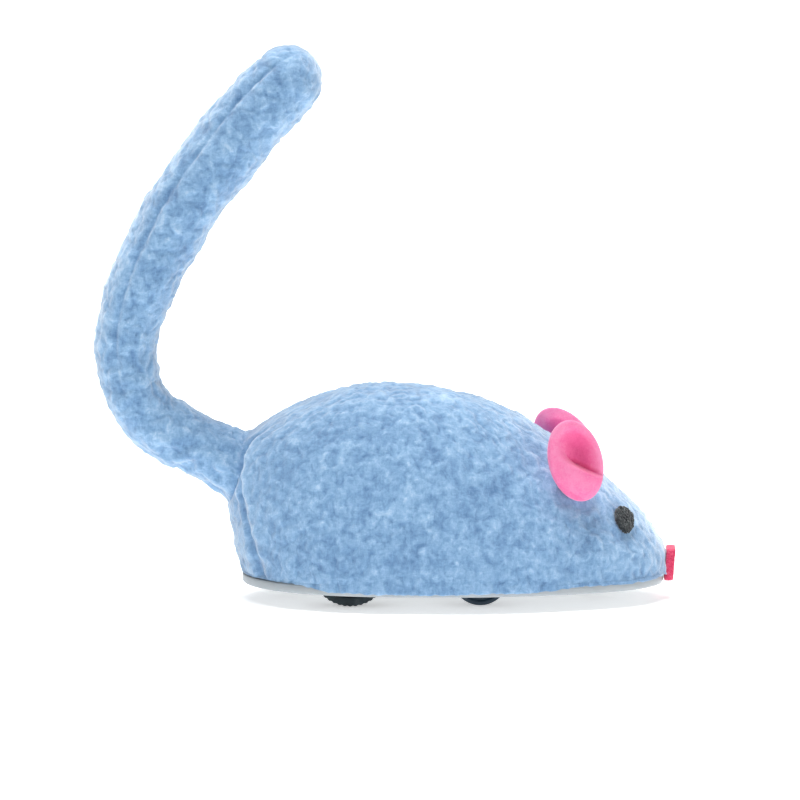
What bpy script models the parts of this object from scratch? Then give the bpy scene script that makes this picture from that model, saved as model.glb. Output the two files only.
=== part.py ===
"""Clockwork mouse: a fleece-covered toy on four wheels, driven by a wind-up spring motor.

The mouse faces +X and stands on the plane z = 0. Its left side, with the winding knob, is +Y.
Everything is modelled about the point on the floor below the middle of the base plate, and the
empty mouse_frame moves that to the middle of the whole toy's footprint.
"""

import math

import bmesh
import bpy
from mathutils import Euler, Matrix, Vector, geometry

MM = 0.001

# The whole toy. The tail hangs out behind and the knob stands out on the left.
FRAME_SHIFT = Vector((12.8 * MM, -2.75 * MM, 0))
FIT_GAP = 0.3 * MM
PRESS_GAP = 0.2 * MM
WELD_DISTANCE = 1e-6

# Base plate
BASE_BOTTOM = 2.9 * MM
BASE_FLOOR = 1.0 * MM
BASE_RIM_HEIGHT = 1.7 * MM
BASE_RIM_WIDTH = 1.5 * MM
BASE_REAR = -38.2 * MM
BASE_FRONT = 36.6 * MM
BASE_HALF_WIDTH = 19.2 * MM
BASE_EDGE_ROUND = 0.35 * MM
BASE_CUT_HEIGHT = 4 * MM

# Body cover: its outline from the hem up, as (height, x) behind and in front of the crown
HEM = 4.9 * MM
CROWN = 38.5 * MM
CROWN_X = -12 * MM
COVER_HALF_WIDTH = 19.3 * MM
COVER_THICKNESS = 2.0 * MM
COVER_RINGS = 12
COVER_SIDES = 32
COVER_ARBOR_HOLE = 2.3 * MM
REAR_LINE = [
    (4.9, -38.2),
    (10, -39.7),
    (17, -41.0),
    (24, -40.9),
    (29, -38.7),
    (33, -33.2),
    (36.3, -25.6),
    (38.0, -18.8),
    (38.5, -12.0),
]
FRONT_LINE = [
    (4.9, 36.4),
    (9, 35.8),
    (12.2, 34.5),
    (15.6, 32.4),
    (20.1, 28.2),
    (26.0, 21.2),
    (31.5, 13.4),
    (35.0, 7.0),
    (37.4, -1.5),
    (38.5, -12.0),
]
NOSE_POWERS = (1.7, 2.5)
RUMP_POWERS = (3.0, 2.0)
SIDE_ROUNDING = 0.85

# Inner shell: a hard dome just inside the cover, screwed to the base through two bosses
SHELL_INSET = 2.4 * MM
SHELL_THICKNESS = 1.0 * MM
SHELL_BOTTOM = 4.9 * MM
SHELL_RINGS = 9
SHELL_SIDES = 24
SHELL_ARBOR_HOLE = 2.0 * MM
ARBOR_HOLE_Y = (11 * MM, 23 * MM)
BOSS_X = (-30.5 * MM, 24 * MM)
BOSS_RADIUS = 2.4 * MM
BOSS_BOTTOM = 6.2 * MM
PILOT_RADIUS = 1.1 * MM
PILOT_TOP = 14 * MM
PAD_RADIUS = 3.0 * MM
PAD_TOP = 5.9 * MM
PAD_OVERCUT = 1.0 * MM
SCREW_HEAD_RADIUS = 1.8 * MM
SCREW_HEAD_BOTTOM = 3.2 * MM
SCREW_HEAD_TOP = 4.5 * MM
SCREW_RADIUS = 0.8 * MM
SCREW_TOP = 13 * MM
SCREW_POINT = 1.0 * MM
SCREW_HEAD_ROUND = 0.4 * MM
CROSS_LENGTH = 2.2 * MM
CROSS_WIDTH = 0.4 * MM
CROSS_CUT_HEIGHT = 1.2 * MM
COUNTERBORE_RADIUS = 2.2 * MM
COUNTERBORE_TOP = 4.8 * MM

# Ears, eyes and nose
EAR_WIDTH = 9.6 * MM
EAR_HEIGHT = 14.8 * MM
EAR_THICKNESS = 2.0 * MM
EAR_CENTRE = Vector((20.7 * MM, 13.6 * MM, 26.5 * MM))
EAR_LEAN = math.radians(15)
EAR_FORWARD = math.radians(6)
EYE_WIDTH = 4.4 * MM
EYE_HEIGHT = 5.2 * MM
EYE_THICKNESS = 0.6 * MM
EYE_Z = 15.2 * MM
EYE_X = 29.5 * MM
EYE_SEARCH_STEPS = 30
NOSE_WIDTH = 6.0 * MM
NOSE_HEIGHT = 5.6 * MM
NOSE_THICKNESS = 1.6 * MM
NOSE_Z = 6.1 * MM
NOSE_CORNER = 1.6 * MM
NOSE_CORNER_STEPS = 4

# Wheels and axles
REAR_AXLE = Vector((-19 * MM, 0, 7.0 * MM))
REAR_TYRE_RADIUS = 7.0 * MM
REAR_TYRE_INNER = 5.3 * MM
REAR_HUB_RADIUS = 5.0 * MM
REAR_WHEEL_INNER_Y = 8.2 * MM
REAR_WHEEL_OUTER_Y = 11.4 * MM
REAR_AXLE_RADIUS = 1.0 * MM
REAR_AXLE_HALF_LENGTH = 11.0 * MM
TYRE_EDGE = 0.6 * MM
HUB_BOSS_RADIUS = 2.2 * MM
HUB_RIM_WIDTH = 1.0 * MM
HUB_DISH_DEPTH = 1.0 * MM
FRONT_AXLE = Vector((4 * MM, 0, 5.0 * MM))
FRONT_WHEEL_RADIUS = 5.0 * MM
FRONT_WHEEL_INNER_Y = 7.9 * MM
FRONT_WHEEL_OUTER_Y = 9.8 * MM
FRONT_AXLE_RADIUS = 0.8 * MM
FRONT_AXLE_HALF_LENGTH = 9.5 * MM
FRONT_WHEEL_EDGE = 0.4 * MM
WHEEL_SLOT_CLEARANCE = 0.7 * MM
TYRE_SIDES = 42
WHEEL_SIDES = 26
HUB_SIDES = 20

# Clockwork: a train of module 0.5, with 12 turns of the rear axle to one of the great wheel
MODULE = 0.5 * MM
GREAT_TEETH = 36
SECOND_PINION_TEETH = 10
SECOND_TEETH = 30
AXLE_PINION_TEETH = 9
AXLE_TO_SECOND_ANGLE = math.radians(40)
SECOND_TO_GREAT_ANGLE = math.radians(15)
TOOTH_ADDENDUM = 0.8 * MODULE
TOOTH_DEDENDUM = 1.15 * MODULE
TOOTH_ROOT_SHARE = 0.52
TOOTH_PITCH_SHARE = 0.36
TOOTH_TIP_SHARE = 0.18
LIGHTENING_AT = 0.58  # of the pitch radius
LIGHTENING_RADIUS = 0.2  # of the pitch radius
GREAT_WHEEL_Y = (-0.7 * MM, 0.7 * MM)
SECOND_PINION_Y = (-1.0 * MM, 1.0 * MM)
SECOND_WHEEL_Y = (-4.4 * MM, -3.2 * MM)
AXLE_PINION_Y = (-4.8 * MM, -2.8 * MM)
RATCHET_Y = (-2.2 * MM, -1.0 * MM)
RATCHET_TEETH = 12
RATCHET_RADIUS = 3.6 * MM
RATCHET_ROOT = 2.9 * MM
RATCHET_LEAN = 0.06
CLICK_HALF_THICKNESS = 0.35 * MM
CLICK_FOOT = (-5.2 * MM, 5.0 * MM)
CLICK_BEND = (0.6 * MM, 5.6 * MM)
CLICK_TIP = (3.5 * MM, 2.9 * MM)
SECOND_ARBOR_RADIUS = 0.8 * MM
SECOND_ARBOR_HALF_LENGTH = 7.1 * MM
WINDING_ARBOR_RADIUS = 1.25 * MM
WINDING_ARBOR_Y = (-7.6 * MM, 23.6 * MM)
RUNNING_CLEARANCE = 0.3 * MM

# Mainspring: a spiral strip round the winding arbor, hooked round the front pillar
SPRING_Y = (1.3 * MM, 5.3 * MM)
SPRING_STRIP = 0.3 * MM
SPRING_INNER = 1.9 * MM
SPRING_OUTER = 9.2 * MM
SPRING_TURNS = 5.0
SPRING_STEPS_PER_TURN = 18
SPRING_END_BACK = 0.45  # radians short of the pillar
HOOK_START = 0.35
HOOK_STEP = math.radians(28)
HOOK_STEPS = 7

# Motor frame: two plates held apart by three pillars
PLATE_INNER_Y = 6.2 * MM
PLATE_THICKNESS = 1.2 * MM
PLATE_BOTTOM = 4.3 * MM
PLATE_MARGIN = 2.6 * MM
PLATE_MARGIN_AT_AXLE = 3.2 * MM
PLATE_TOUCHING = 1e-7
PILLARS = {
    "motor_pillar_front": Vector((10.6 * MM, 0, 13.0 * MM)),
    "motor_pillar_top": Vector((-11.5 * MM, 0, 25.5 * MM)),
    "motor_pillar_rear": Vector((-24.0 * MM, 0, 14.5 * MM)),
}
PILLAR_RADIUS = 1.3 * MM
PILLAR_NECK = 0.7 * MM
PILLAR_HEAD = 1.2 * MM
PILLAR_HEAD_THICKNESS = 0.4 * MM
TAB_CENTRES_X = (-16 * MM, -1 * MM)
TAB_LENGTH = 3.0 * MM
TAB_BOTTOM = 3.3 * MM

# Winding knob
KNOB_Y = (20.8 * MM, 24.8 * MM)
KNOB_NECK_Y = 19.9 * MM
KNOB_NECK_RADIUS = 2.6 * MM
KNOB_RADIUS = 5.2 * MM
KNOB_GRIPS = 14
KNOB_GRIP_DEPTH = 0.5 * MM
KNOB_GRIP_CORNERS = 4
SOCKET_OVERCUT = 1.0 * MM

# Tail: a sewn fleece sleeve, its stuffing and a wire that holds its curve
TAIL_HINGE = Vector((-41.5 * MM, 0, 25.0 * MM))
TAIL_ROUTE = [
    (-43.0, 25.6),
    (-46.6, 27.4),
    (-50.4, 29.8),
    (-54.4, 33.2),
    (-57.5, 38.4),
    (-58.6, 45.3),
    (-57.3, 52.0),
    (-54.0, 60.2),
    (-49.0, 69.2),
    (-43.2, 77.6),
    (-36.4, 86.2),
    (-30.0, 92.6),
]
TAIL_RADIUS_ROOT = 5.6 * MM
TAIL_RADIUS_BEND = 5.5 * MM
TAIL_RADIUS_TIP = 6.4 * MM
TAIL_BEND_SHARE = 0.3
TAIL_WALL = 1.9 * MM
TAIL_SAMPLES = 20
TAIL_TIP_RINGS = 5
TAIL_TIP_OPEN = 0.4  # of a ring, left between the last ring and the tip
TAIL_RUN_OUT = Vector((3 * MM, 0, -1.6 * MM))
STUFFING_GAP = 0.45 * MM
STUFFING_START = 0.01  # of the tail's length
WIRE_RADIUS = 0.6 * MM
WIRE_INNER_END_X = -36.0 * MM
WIRE_HOLE_RADIUS = 2.7 * MM
WIRE_HOLE_LENGTH = 14 * MM
WIRE_CHANNEL_RADIUS = 1.0 * MM
WIRE_END_BEFORE_TIP = 1.4  # route points that the channel stops short by


# ---------------------------------------------------------------- scene, materials and helpers


def clear_scene():
    for obj in list(bpy.data.objects):
        bpy.data.objects.remove(obj, do_unlink=True)


def new_collection(name):
    collection = bpy.data.collections.new(name)
    bpy.context.scene.collection.children.link(collection)
    return collection


def material(name, colour, roughness, metallic=0.0):
    mat = bpy.data.materials.new(name)
    mat.use_nodes = True
    shader = mat.node_tree.nodes["Principled BSDF"]
    shader.inputs["Base Color"].default_value = (*colour, 1.0)
    shader.inputs["Roughness"].default_value = roughness
    shader.inputs["Metallic"].default_value = metallic
    return mat


clear_scene()
PARTS = new_collection("clockwork_mouse")
CUTTERS = new_collection("cutters")

FLEECE = (0.25, 0.41, 0.62)
PINK = (0.85, 0.13, 0.33)
STEEL = (0.60, 0.60, 0.62)
BRASS = (0.75, 0.55, 0.22)
PALE_PLASTIC = (0.66, 0.68, 0.70)
DARK_PLASTIC = (0.03, 0.05, 0.07)
NAVY_PLASTIC = (0.02, 0.04, 0.065)
RUBBER = (0.045, 0.06, 0.07)
RED = (0.72, 0.05, 0.13)
BLACK = (0.01, 0.01, 0.012)
SPRING_BLUE = (0.30, 0.33, 0.40)
IVORY = (0.80, 0.80, 0.76)
WADDING = (0.85, 0.85, 0.83)


def empty(name, location, parent=None):
    obj = bpy.data.objects.new(name, None)
    obj.location = location
    obj.parent = parent
    PARTS.objects.link(obj)
    return obj


def part(name, data, parent, mat, location=(0, 0, 0), rotation=(0, 0, 0)):
    """One named object of the toy, with its own material."""
    obj = bpy.data.objects.new(name, data)
    obj.location = location
    obj.rotation_euler = rotation
    obj.parent = parent
    data.materials.clear()
    data.materials.append(mat)
    PARTS.objects.link(obj)
    return obj


def cutter(name, mesh, location, rotation=(0, 0, 0), parent=None):
    obj = bpy.data.objects.new(name, mesh)
    obj.location = location
    obj.rotation_euler = rotation
    obj.parent = parent
    obj.hide_render = True
    obj.display_type = "WIRE"
    CUTTERS.objects.link(obj)
    return obj


def boolean(obj, other, operation):
    modifier = obj.modifiers.new(other.name, "BOOLEAN")
    modifier.operation = operation
    modifier.solver = "EXACT"
    modifier.object = other


def box_mesh(name, size):
    bm = bmesh.new()
    bmesh.ops.create_cube(bm, size=1, matrix=Matrix.Diagonal((*size, 1)))
    mesh = bpy.data.meshes.new(name)
    bm.to_mesh(mesh)
    bm.free()
    return mesh


def cylinder_mesh(name, radius, depth, sides=24):
    bm = bmesh.new()
    bmesh.ops.create_cone(bm, cap_ends=True, segments=sides, radius1=radius, radius2=radius, depth=depth)
    mesh = bpy.data.meshes.new(name)
    bm.to_mesh(mesh)
    bm.free()
    return mesh


ACROSS = (math.pi / 2, 0, 0)  # turns local X, Y, Z to world X, Z, -Y
ALONG = (0, math.pi / 2, 0)  # turns local Z to world X


def circle(radius, sides, centre=(0, 0), phase=0.0):
    steps = [phase + math.tau * i / sides for i in range(sides)]
    return [(centre[0] + radius * math.cos(a), centre[1] + radius * math.sin(a)) for a in steps]


def flat_data(name, outlines, thickness):
    """A flat piece: the first outline is its edge, the others are holes in it."""
    curve = bpy.data.curves.new(name, "CURVE")
    curve.dimensions = "2D"
    curve.fill_mode = "BOTH"
    curve.extrude = thickness / 2
    for outline in outlines:
        spline = curve.splines.new("POLY")
        spline.points.add(len(outline) - 1)
        for point, (x, y) in zip(spline.points, outline):
            point.co = (x, y, 0, 1)
        spline.use_cyclic_u = True
    return curve


def flat_across(name, outlines, y_span, parent, mat, x_z=(0, 0)):
    """A flat piece that stands in the X-Z plane and fills y_span."""
    low, high = y_span
    data = flat_data(name, outlines, high - low)
    return part(name, data, parent, mat, (x_z[0], (low + high) / 2, x_z[1]), ACROSS)


def mesh_of_curve(obj):
    """The curve object's mesh with its caps welded on, and the curve removed."""
    bpy.context.view_layer.update()
    graph = bpy.context.evaluated_depsgraph_get()
    mesh = bpy.data.meshes.new_from_object(obj.evaluated_get(graph))
    bm = bmesh.new()
    bm.from_mesh(mesh)
    bmesh.ops.remove_doubles(bm, verts=bm.verts, dist=WELD_DISTANCE)
    bmesh.ops.recalc_face_normals(bm, faces=bm.faces)
    bm.to_mesh(mesh)
    bm.free()
    world = obj.matrix_world.copy()
    bpy.data.objects.remove(obj)
    return mesh, world


def turned(name, profile, parent, mat, steps=24, location=(0, 0, 0), rotation=ACROSS, closed=False):
    """A turned piece. The profile is (radius, height) down its outer side, and closed for a ring."""
    mesh = bpy.data.meshes.new(name)
    last = len(profile) - 1
    edges = [(i, i + 1) for i in range(last)]
    if closed:
        edges.append((last, 0))
    mesh.from_pydata([(radius, 0, height) for radius, height in profile], edges, [])
    obj = part(name, mesh, parent, mat, location, rotation)
    screw = obj.modifiers.new("Turn", "SCREW")
    screw.axis = "Z"
    screw.angle = math.tau
    screw.steps = steps
    screw.render_steps = steps
    screw.use_merge_vertices = True
    screw.merge_threshold = WELD_DISTANCE
    screw.use_smooth_shade = False
    return obj


def shaft(name, radius, y_span, parent, mat, x_z=(0, 0), chamfer=0.2 * MM, sides=16):
    """A plain round shaft across the toy, with chamfered ends."""
    low, high = -y_span[1], -y_span[0]
    profile = [
        (0, high),
        (radius - chamfer, high),
        (radius, high - chamfer),
        (radius, low + chamfer),
        (radius - chamfer, low),
        (0, low),
    ]
    return turned(name, profile, parent, mat, sides, (x_z[0], 0, x_z[1]))


def smooth_between(points, at):
    """A smooth curve through the points (key, value), read at one key."""
    keys = [p[0] for p in points]
    last = len(points) - 1
    i = min(max(sum(key <= at for key in keys) - 1, 0), last - 1)

    def slope(k):
        before, after = max(k - 1, 0), min(k + 1, last)
        return (points[after][1] - points[before][1]) / (keys[after] - keys[before])

    span = keys[i + 1] - keys[i]
    t = (at - keys[i]) / span
    start, end = points[i][1], points[i + 1][1]
    return (
        (2 * t**3 - 3 * t**2 + 1) * start
        + (t**3 - 2 * t**2 + t) * span * slope(i)
        + (3 * t**2 - 2 * t**3) * end
        + (t**3 - t**2) * span * slope(i + 1)
    )


# ---------------------------------------------------------------- the body's form


def rise_angle(height):
    """0 at the hem and a quarter turn at the crown."""
    share = (height * MM - HEM) / (CROWN - HEM)
    return math.asin(min(max(share, 0), 1))


REAR_CURVE = [(rise_angle(z), x * MM) for z, x in REAR_LINE]
FRONT_CURVE = [(rise_angle(z), x * MM) for z, x in FRONT_LINE]


def body_point(rise, turn, inset=0.0):
    """A point of the body at a rise from hem to crown and a turn round it from the nose."""
    front = smooth_between(FRONT_CURVE, rise) - inset
    rear = smooth_between(REAR_CURVE, rise) + inset
    height = HEM + (CROWN - HEM - inset) * math.sin(rise)
    middle = CROWN_X * math.sin(rise)
    front = max(front, middle)
    rear = min(rear, middle)
    half_width = (COVER_HALF_WIDTH - inset) * max(math.cos(rise), 0) ** SIDE_ROUNDING
    along, across = math.cos(turn), math.sin(turn)
    powers = NOSE_POWERS if along >= 0 else RUMP_POWERS
    reach = front - middle if along >= 0 else middle - rear
    x = middle + math.copysign(abs(along) ** (2 / powers[0]), along) * reach
    y = math.copysign(abs(across) ** (2 / powers[1]), across) * half_width
    return Vector((x, y, height))


def body_normal(rise, turn):
    step = 0.01
    up = body_point(rise + step, turn) - body_point(rise - step, turn)
    round_it = body_point(rise, turn + step) - body_point(rise, turn - step)
    return round_it.cross(up).normalized()


def dome_mesh(name, inset, rings, around, closed=False, bottom=HEM):
    """The body's surface from the hem up to the crown, open below unless closed."""
    bm = bmesh.new()
    rows = []
    for k in range(rings):
        rise = math.pi / 2 * k / rings
        row = [bm.verts.new(body_point(rise, math.tau * i / around, inset)) for i in range(around)]
        rows.append(row)
    for vert in rows[0]:
        vert.co.z = bottom
    crown = bm.verts.new((CROWN_X, 0, CROWN - inset))
    for low, high in zip(rows, rows[1:]):
        for i in range(around):
            j = (i + 1) % around
            bm.faces.new((low[i], low[j], high[j], high[i]))
    for i in range(around):
        bm.faces.new((rows[-1][i], rows[-1][(i + 1) % around], crown))
    if closed:
        bm.faces.new(reversed(rows[0]))
    bmesh.ops.recalc_face_normals(bm, faces=bm.faces)
    if not closed and sum(f.normal.z for f in bm.faces) < 0:
        bmesh.ops.reverse_faces(bm, faces=bm.faces)
    mesh = bpy.data.meshes.new(name)
    bm.to_mesh(mesh)
    bm.free()
    mesh.shade_smooth()
    return mesh


def solidify(obj, thickness):
    modifier = obj.modifiers.new("Wall", "SOLIDIFY")
    modifier.thickness = thickness
    modifier.offset = -1
    modifier.use_even_offset = True


def base_outline(inset, around=48):
    """The base plate's teardrop edge."""
    points = []
    for i in range(around):
        turn = math.tau * i / around
        along, across = math.cos(turn), math.sin(turn)
        powers = NOSE_POWERS if along >= 0 else RUMP_POWERS
        reach = BASE_FRONT - inset if along >= 0 else -BASE_REAR - inset
        x = math.copysign(abs(along) ** (2 / powers[0]), along) * reach
        y = math.copysign(abs(across) ** (2 / powers[1]), across) * (BASE_HALF_WIDTH - inset)
        points.append((x, y))
    return points


# ---------------------------------------------------------------- base plate and its screws


def standing_cutter(name, radius, low, high, x, sides=18):
    """An upright cylinder, turned so that none of its corners is on the toy's middle plane."""
    mesh = cylinder_mesh(name, radius, high - low, sides)
    return cutter(name, mesh, (x, 0, (low + high) / 2), (0, 0, math.pi / 2.5 / sides), FRAME)


def base_plate():
    plastic = material("base_plastic", PALE_PLASTIC, 0.45)
    top = BASE_BOTTOM + BASE_RIM_HEIGHT
    edge = flat_data("base_curve", [base_outline(0)], BASE_RIM_HEIGHT)
    mesh, _ = mesh_of_curve(part("base_curve", edge, None, plastic))
    obj = part("base_plate", mesh, FRAME, plastic, (0, 0, (BASE_BOTTOM + top) / 2))
    bevel = obj.modifiers.new("Rounded edge", "BEVEL")
    bevel.width = BASE_EDGE_ROUND
    bevel.segments = 1
    bevel.limit_method = "ANGLE"
    bevel.angle_limit = math.radians(60)
    pocket_depth = BASE_CUT_HEIGHT
    pocket = flat_data("pocket", [base_outline(BASE_RIM_WIDTH)], pocket_depth)
    pocket_mesh, _ = mesh_of_curve(part("pocket", pocket, None, plastic))
    floor_top = BASE_BOTTOM + BASE_FLOOR
    pocket_place = (0, 0, floor_top + pocket_depth / 2)
    boolean(obj, cutter("pocket_cutter", pocket_mesh, pocket_place, parent=FRAME), "DIFFERENCE")
    for end, x in zip(("rear", "front"), BOSS_X):
        pad_low = BASE_BOTTOM + BASE_FLOOR / 2
        boolean(obj, standing_cutter(f"{end}_pad", PAD_RADIUS, pad_low, PAD_TOP, x), "UNION")
        counterbore = standing_cutter(f"{end}_counterbore", COUNTERBORE_RADIUS, 0, COUNTERBORE_TOP, x)
        boolean(obj, counterbore, "DIFFERENCE")
        screw_hole = standing_cutter(f"{end}_screw_hole", PILOT_RADIUS, 0, PAD_TOP + PAD_OVERCUT, x)
        boolean(obj, screw_hole, "DIFFERENCE")
    wheels = (
        ("rear", REAR_AXLE, REAR_TYRE_RADIUS, REAR_WHEEL_INNER_Y, REAR_WHEEL_OUTER_Y),
        ("front", FRONT_AXLE, FRONT_WHEEL_RADIUS, FRONT_WHEEL_INNER_Y, FRONT_WHEEL_OUTER_Y),
    )
    for end, axle, radius, inner, outer in wheels:
        chord = math.sqrt(radius**2 - (axle.z - floor_top) ** 2)
        length = 2 * (chord + WHEEL_SLOT_CLEARANCE)
        width = outer - inner + WHEEL_SLOT_CLEARANCE
        for side, sign in (("left", 1), ("right", -1)):
            name = f"{end}_{side}_slot"
            place = (axle.x, sign * (inner + outer) / 2, BASE_BOTTOM)
            slot = box_mesh(name, (length, width, BASE_CUT_HEIGHT))
            boolean(obj, cutter(name, slot, place, parent=FRAME), "DIFFERENCE")
    for i, x in enumerate(TAB_CENTRES_X):
        for side, sign in (("left", 1), ("right", -1)):
            name = f"tab_slot_{i}_{side}"
            size = (TAB_LENGTH + 2 * FIT_GAP, PLATE_THICKNESS + 2 * FIT_GAP, BASE_CUT_HEIGHT)
            place = (x, sign * (PLATE_INNER_Y + PLATE_THICKNESS / 2), BASE_BOTTOM)
            boolean(obj, cutter(name, box_mesh(name, size), place, parent=FRAME), "DIFFERENCE")


def base_screws():
    """Two pan-head screws that hold the base plate to the bosses of the inner shell."""
    for end, x in zip(("rear", "front"), BOSS_X):
        steel = material(f"{end}_screw_steel", STEEL, 0.35, 1.0)
        profile = [
            (0, SCREW_TOP),
            (SCREW_RADIUS / 2, SCREW_TOP),
            (SCREW_RADIUS, SCREW_TOP - SCREW_POINT),
            (SCREW_RADIUS, SCREW_HEAD_TOP),
            (SCREW_HEAD_RADIUS, SCREW_HEAD_TOP),
            (SCREW_HEAD_RADIUS, SCREW_HEAD_BOTTOM + SCREW_HEAD_ROUND),
            (SCREW_HEAD_RADIUS - SCREW_HEAD_ROUND, SCREW_HEAD_BOTTOM),
            (0, SCREW_HEAD_BOTTOM),
        ]
        screw = turned(f"base_screw_{end}", profile, FRAME, steel, 20, (x, 0, 0), (0, 0, 0))
        for i, (length, width) in enumerate(((CROSS_LENGTH, CROSS_WIDTH), (CROSS_WIDTH, CROSS_LENGTH))):
            name = f"{end}_cross_{i}"
            size = (length, width, CROSS_CUT_HEIGHT)
            cross = cutter(name, box_mesh(name, size), (x, 0, SCREW_HEAD_BOTTOM), parent=FRAME)
            boolean(screw, cross, "DIFFERENCE")


# ---------------------------------------------------------------- inner shell, cover and face


def arbor_hole(name, radius):
    low, high = ARBOR_HOLE_Y
    mesh = cylinder_mesh(name, radius, high - low)
    return cutter(name, mesh, (GREAT_ARBOR.x, (low + high) / 2, GREAT_ARBOR.z), ACROSS, FRAME)


def wire_hole(name):
    mesh = cylinder_mesh(name, WIRE_HOLE_RADIUS, WIRE_HOLE_LENGTH)
    return cutter(name, mesh, (TAIL_HINGE.x, 0, TAIL_HINGE.z), ALONG, FRAME)


def inner_shell():
    plastic = material("shell_plastic", PALE_PLASTIC, 0.5)
    mesh = dome_mesh("inner_shell", SHELL_INSET, SHELL_RINGS, SHELL_SIDES, bottom=SHELL_BOTTOM)
    shell = part("inner_shell", mesh, FRAME, plastic)
    solidify(shell, SHELL_THICKNESS)
    middle = SHELL_INSET + SHELL_THICKNESS / 2
    filled_mesh = dome_mesh("shell_filled", middle, SHELL_RINGS, SHELL_SIDES, closed=True)
    filled = cutter("shell_filled", filled_mesh, (0, 0, 0), parent=FRAME)
    for end, x in zip(("rear", "front"), BOSS_X):
        boss = standing_cutter(f"{end}_boss", BOSS_RADIUS, BOSS_BOTTOM, CROWN, x)
        boolean(boss, filled, "INTERSECT")
        boolean(shell, boss, "UNION")
    for end, x in zip(("rear", "front"), BOSS_X):
        boolean(shell, standing_cutter(f"{end}_pilot", PILOT_RADIUS, 0, PILOT_TOP, x), "DIFFERENCE")
    boolean(shell, arbor_hole("shell_arbor_hole", SHELL_ARBOR_HOLE), "DIFFERENCE")
    boolean(shell, wire_hole("shell_wire_hole"), "DIFFERENCE")


def fleece_cover():
    fleece = material("cover_fleece", FLEECE, 0.95)
    cover = part("fleece_cover", dome_mesh("fleece_cover", 0, COVER_RINGS, COVER_SIDES), FRAME, fleece)
    solidify(cover, COVER_THICKNESS)
    boolean(cover, arbor_hole("cover_arbor_hole", COVER_ARBOR_HOLE), "DIFFERENCE")
    boolean(cover, wire_hole("cover_wire_hole"), "DIFFERENCE")


def ellipse(width, height, sides=24):
    return [(width / 2 * x, height / 2 * y) for x, y in circle(1.0, sides)]


def ears():
    for side, sign in (("left", 1), ("right", -1)):
        felt = material(f"ear_felt_{side}", PINK, 0.9)
        data = flat_data(f"ear_{side}", [ellipse(EAR_WIDTH, EAR_HEIGHT)], EAR_THICKNESS)
        upright = Euler(ACROSS).to_matrix()
        lean = Matrix.Rotation(-EAR_LEAN, 3, "Y")
        forward = Matrix.Rotation(sign * -EAR_FORWARD, 3, "Z")
        turn = (forward @ lean @ upright).to_euler()
        place = Vector((EAR_CENTRE.x, sign * EAR_CENTRE.y, EAR_CENTRE.z))
        part(f"ear_{side}", data, FRAME, felt, place, turn)


def eye_turn():
    """The turn round the body at which it has the eye's x, at the eye's height."""
    rise = rise_angle(EYE_Z / MM)
    low, high = 0.0, math.pi / 2
    for _ in range(EYE_SEARCH_STEPS):
        middle = (low + high) / 2
        if body_point(rise, middle).x > EYE_X:
            low = middle
        else:
            high = middle
    return rise, low


def eyes():
    rise, turn = eye_turn()
    for side, sign in (("left", 1), ("right", -1)):
        felt = material(f"eye_felt_{side}", BLACK, 0.6)
        normal = body_normal(rise, turn)
        place = body_point(rise, turn) + normal * (FIT_GAP + EYE_THICKNESS / 2)
        normal.y *= sign
        place.y *= sign
        data = flat_data(f"eye_{side}", [ellipse(EYE_WIDTH, EYE_HEIGHT, 20)], EYE_THICKNESS)
        part(f"eye_{side}", data, FRAME, felt, place, normal.to_track_quat("Z", "Y").to_euler())


def nose_felt():
    felt = material("nose_felt_red", RED, 0.9)
    corner = NOSE_CORNER
    half_w, half_h = NOSE_WIDTH / 2 - corner, NOSE_HEIGHT / 2 - corner
    corners = ((half_w, half_h), (-half_w, half_h), (-half_w, -half_h), (half_w, -half_h))
    quarter = math.pi / 2
    outline = []
    for i, (cx, cy) in enumerate(corners):
        for step in range(NOSE_CORNER_STEPS + 1):
            angle = quarter * (i + step / NOSE_CORNER_STEPS)
            outline.append((cx + corner * math.cos(angle), cy + corner * math.sin(angle)))
    face = body_point(rise_angle(NOSE_Z / MM), 0).x
    place = (max(face, BASE_FRONT) + FIT_GAP + NOSE_THICKNESS / 2, 0, NOSE_Z)
    data = flat_data("nose_felt", [outline], NOSE_THICKNESS)
    part("nose_felt", data, FRAME, felt, place, (math.pi / 2, 0, math.pi / 2))


# ---------------------------------------------------------------- clockwork


def pitch_radius(teeth):
    return MODULE * teeth / 2


def step_from(start, distance, angle):
    return start + Vector((distance * math.cos(angle), 0, distance * math.sin(angle)))


SECOND_ARBOR = step_from(REAR_AXLE, pitch_radius(SECOND_TEETH + AXLE_PINION_TEETH), AXLE_TO_SECOND_ANGLE)
GREAT_ARBOR = step_from(SECOND_ARBOR, pitch_radius(SECOND_PINION_TEETH + GREAT_TEETH), SECOND_TO_GREAT_ANGLE)


def gear_outline(teeth, tooth_at):
    """A gear's edge, with the middle of one tooth at the angle tooth_at."""
    radius = pitch_radius(teeth)
    pitch = math.tau / teeth
    flank = (
        (radius - TOOTH_DEDENDUM, -TOOTH_ROOT_SHARE),
        (radius, -TOOTH_PITCH_SHARE),
        (radius + TOOTH_ADDENDUM, -TOOTH_TIP_SHARE),
        (radius + TOOTH_ADDENDUM, TOOTH_TIP_SHARE),
        (radius, TOOTH_PITCH_SHARE),
        (radius - TOOTH_DEDENDUM, TOOTH_ROOT_SHARE),
    )
    points = []
    for tooth in range(teeth):
        for r, share in flank:
            angle = tooth_at + pitch * (tooth + share / 2)
            points.append((r * math.cos(angle), r * math.sin(angle)))
    return points


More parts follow.
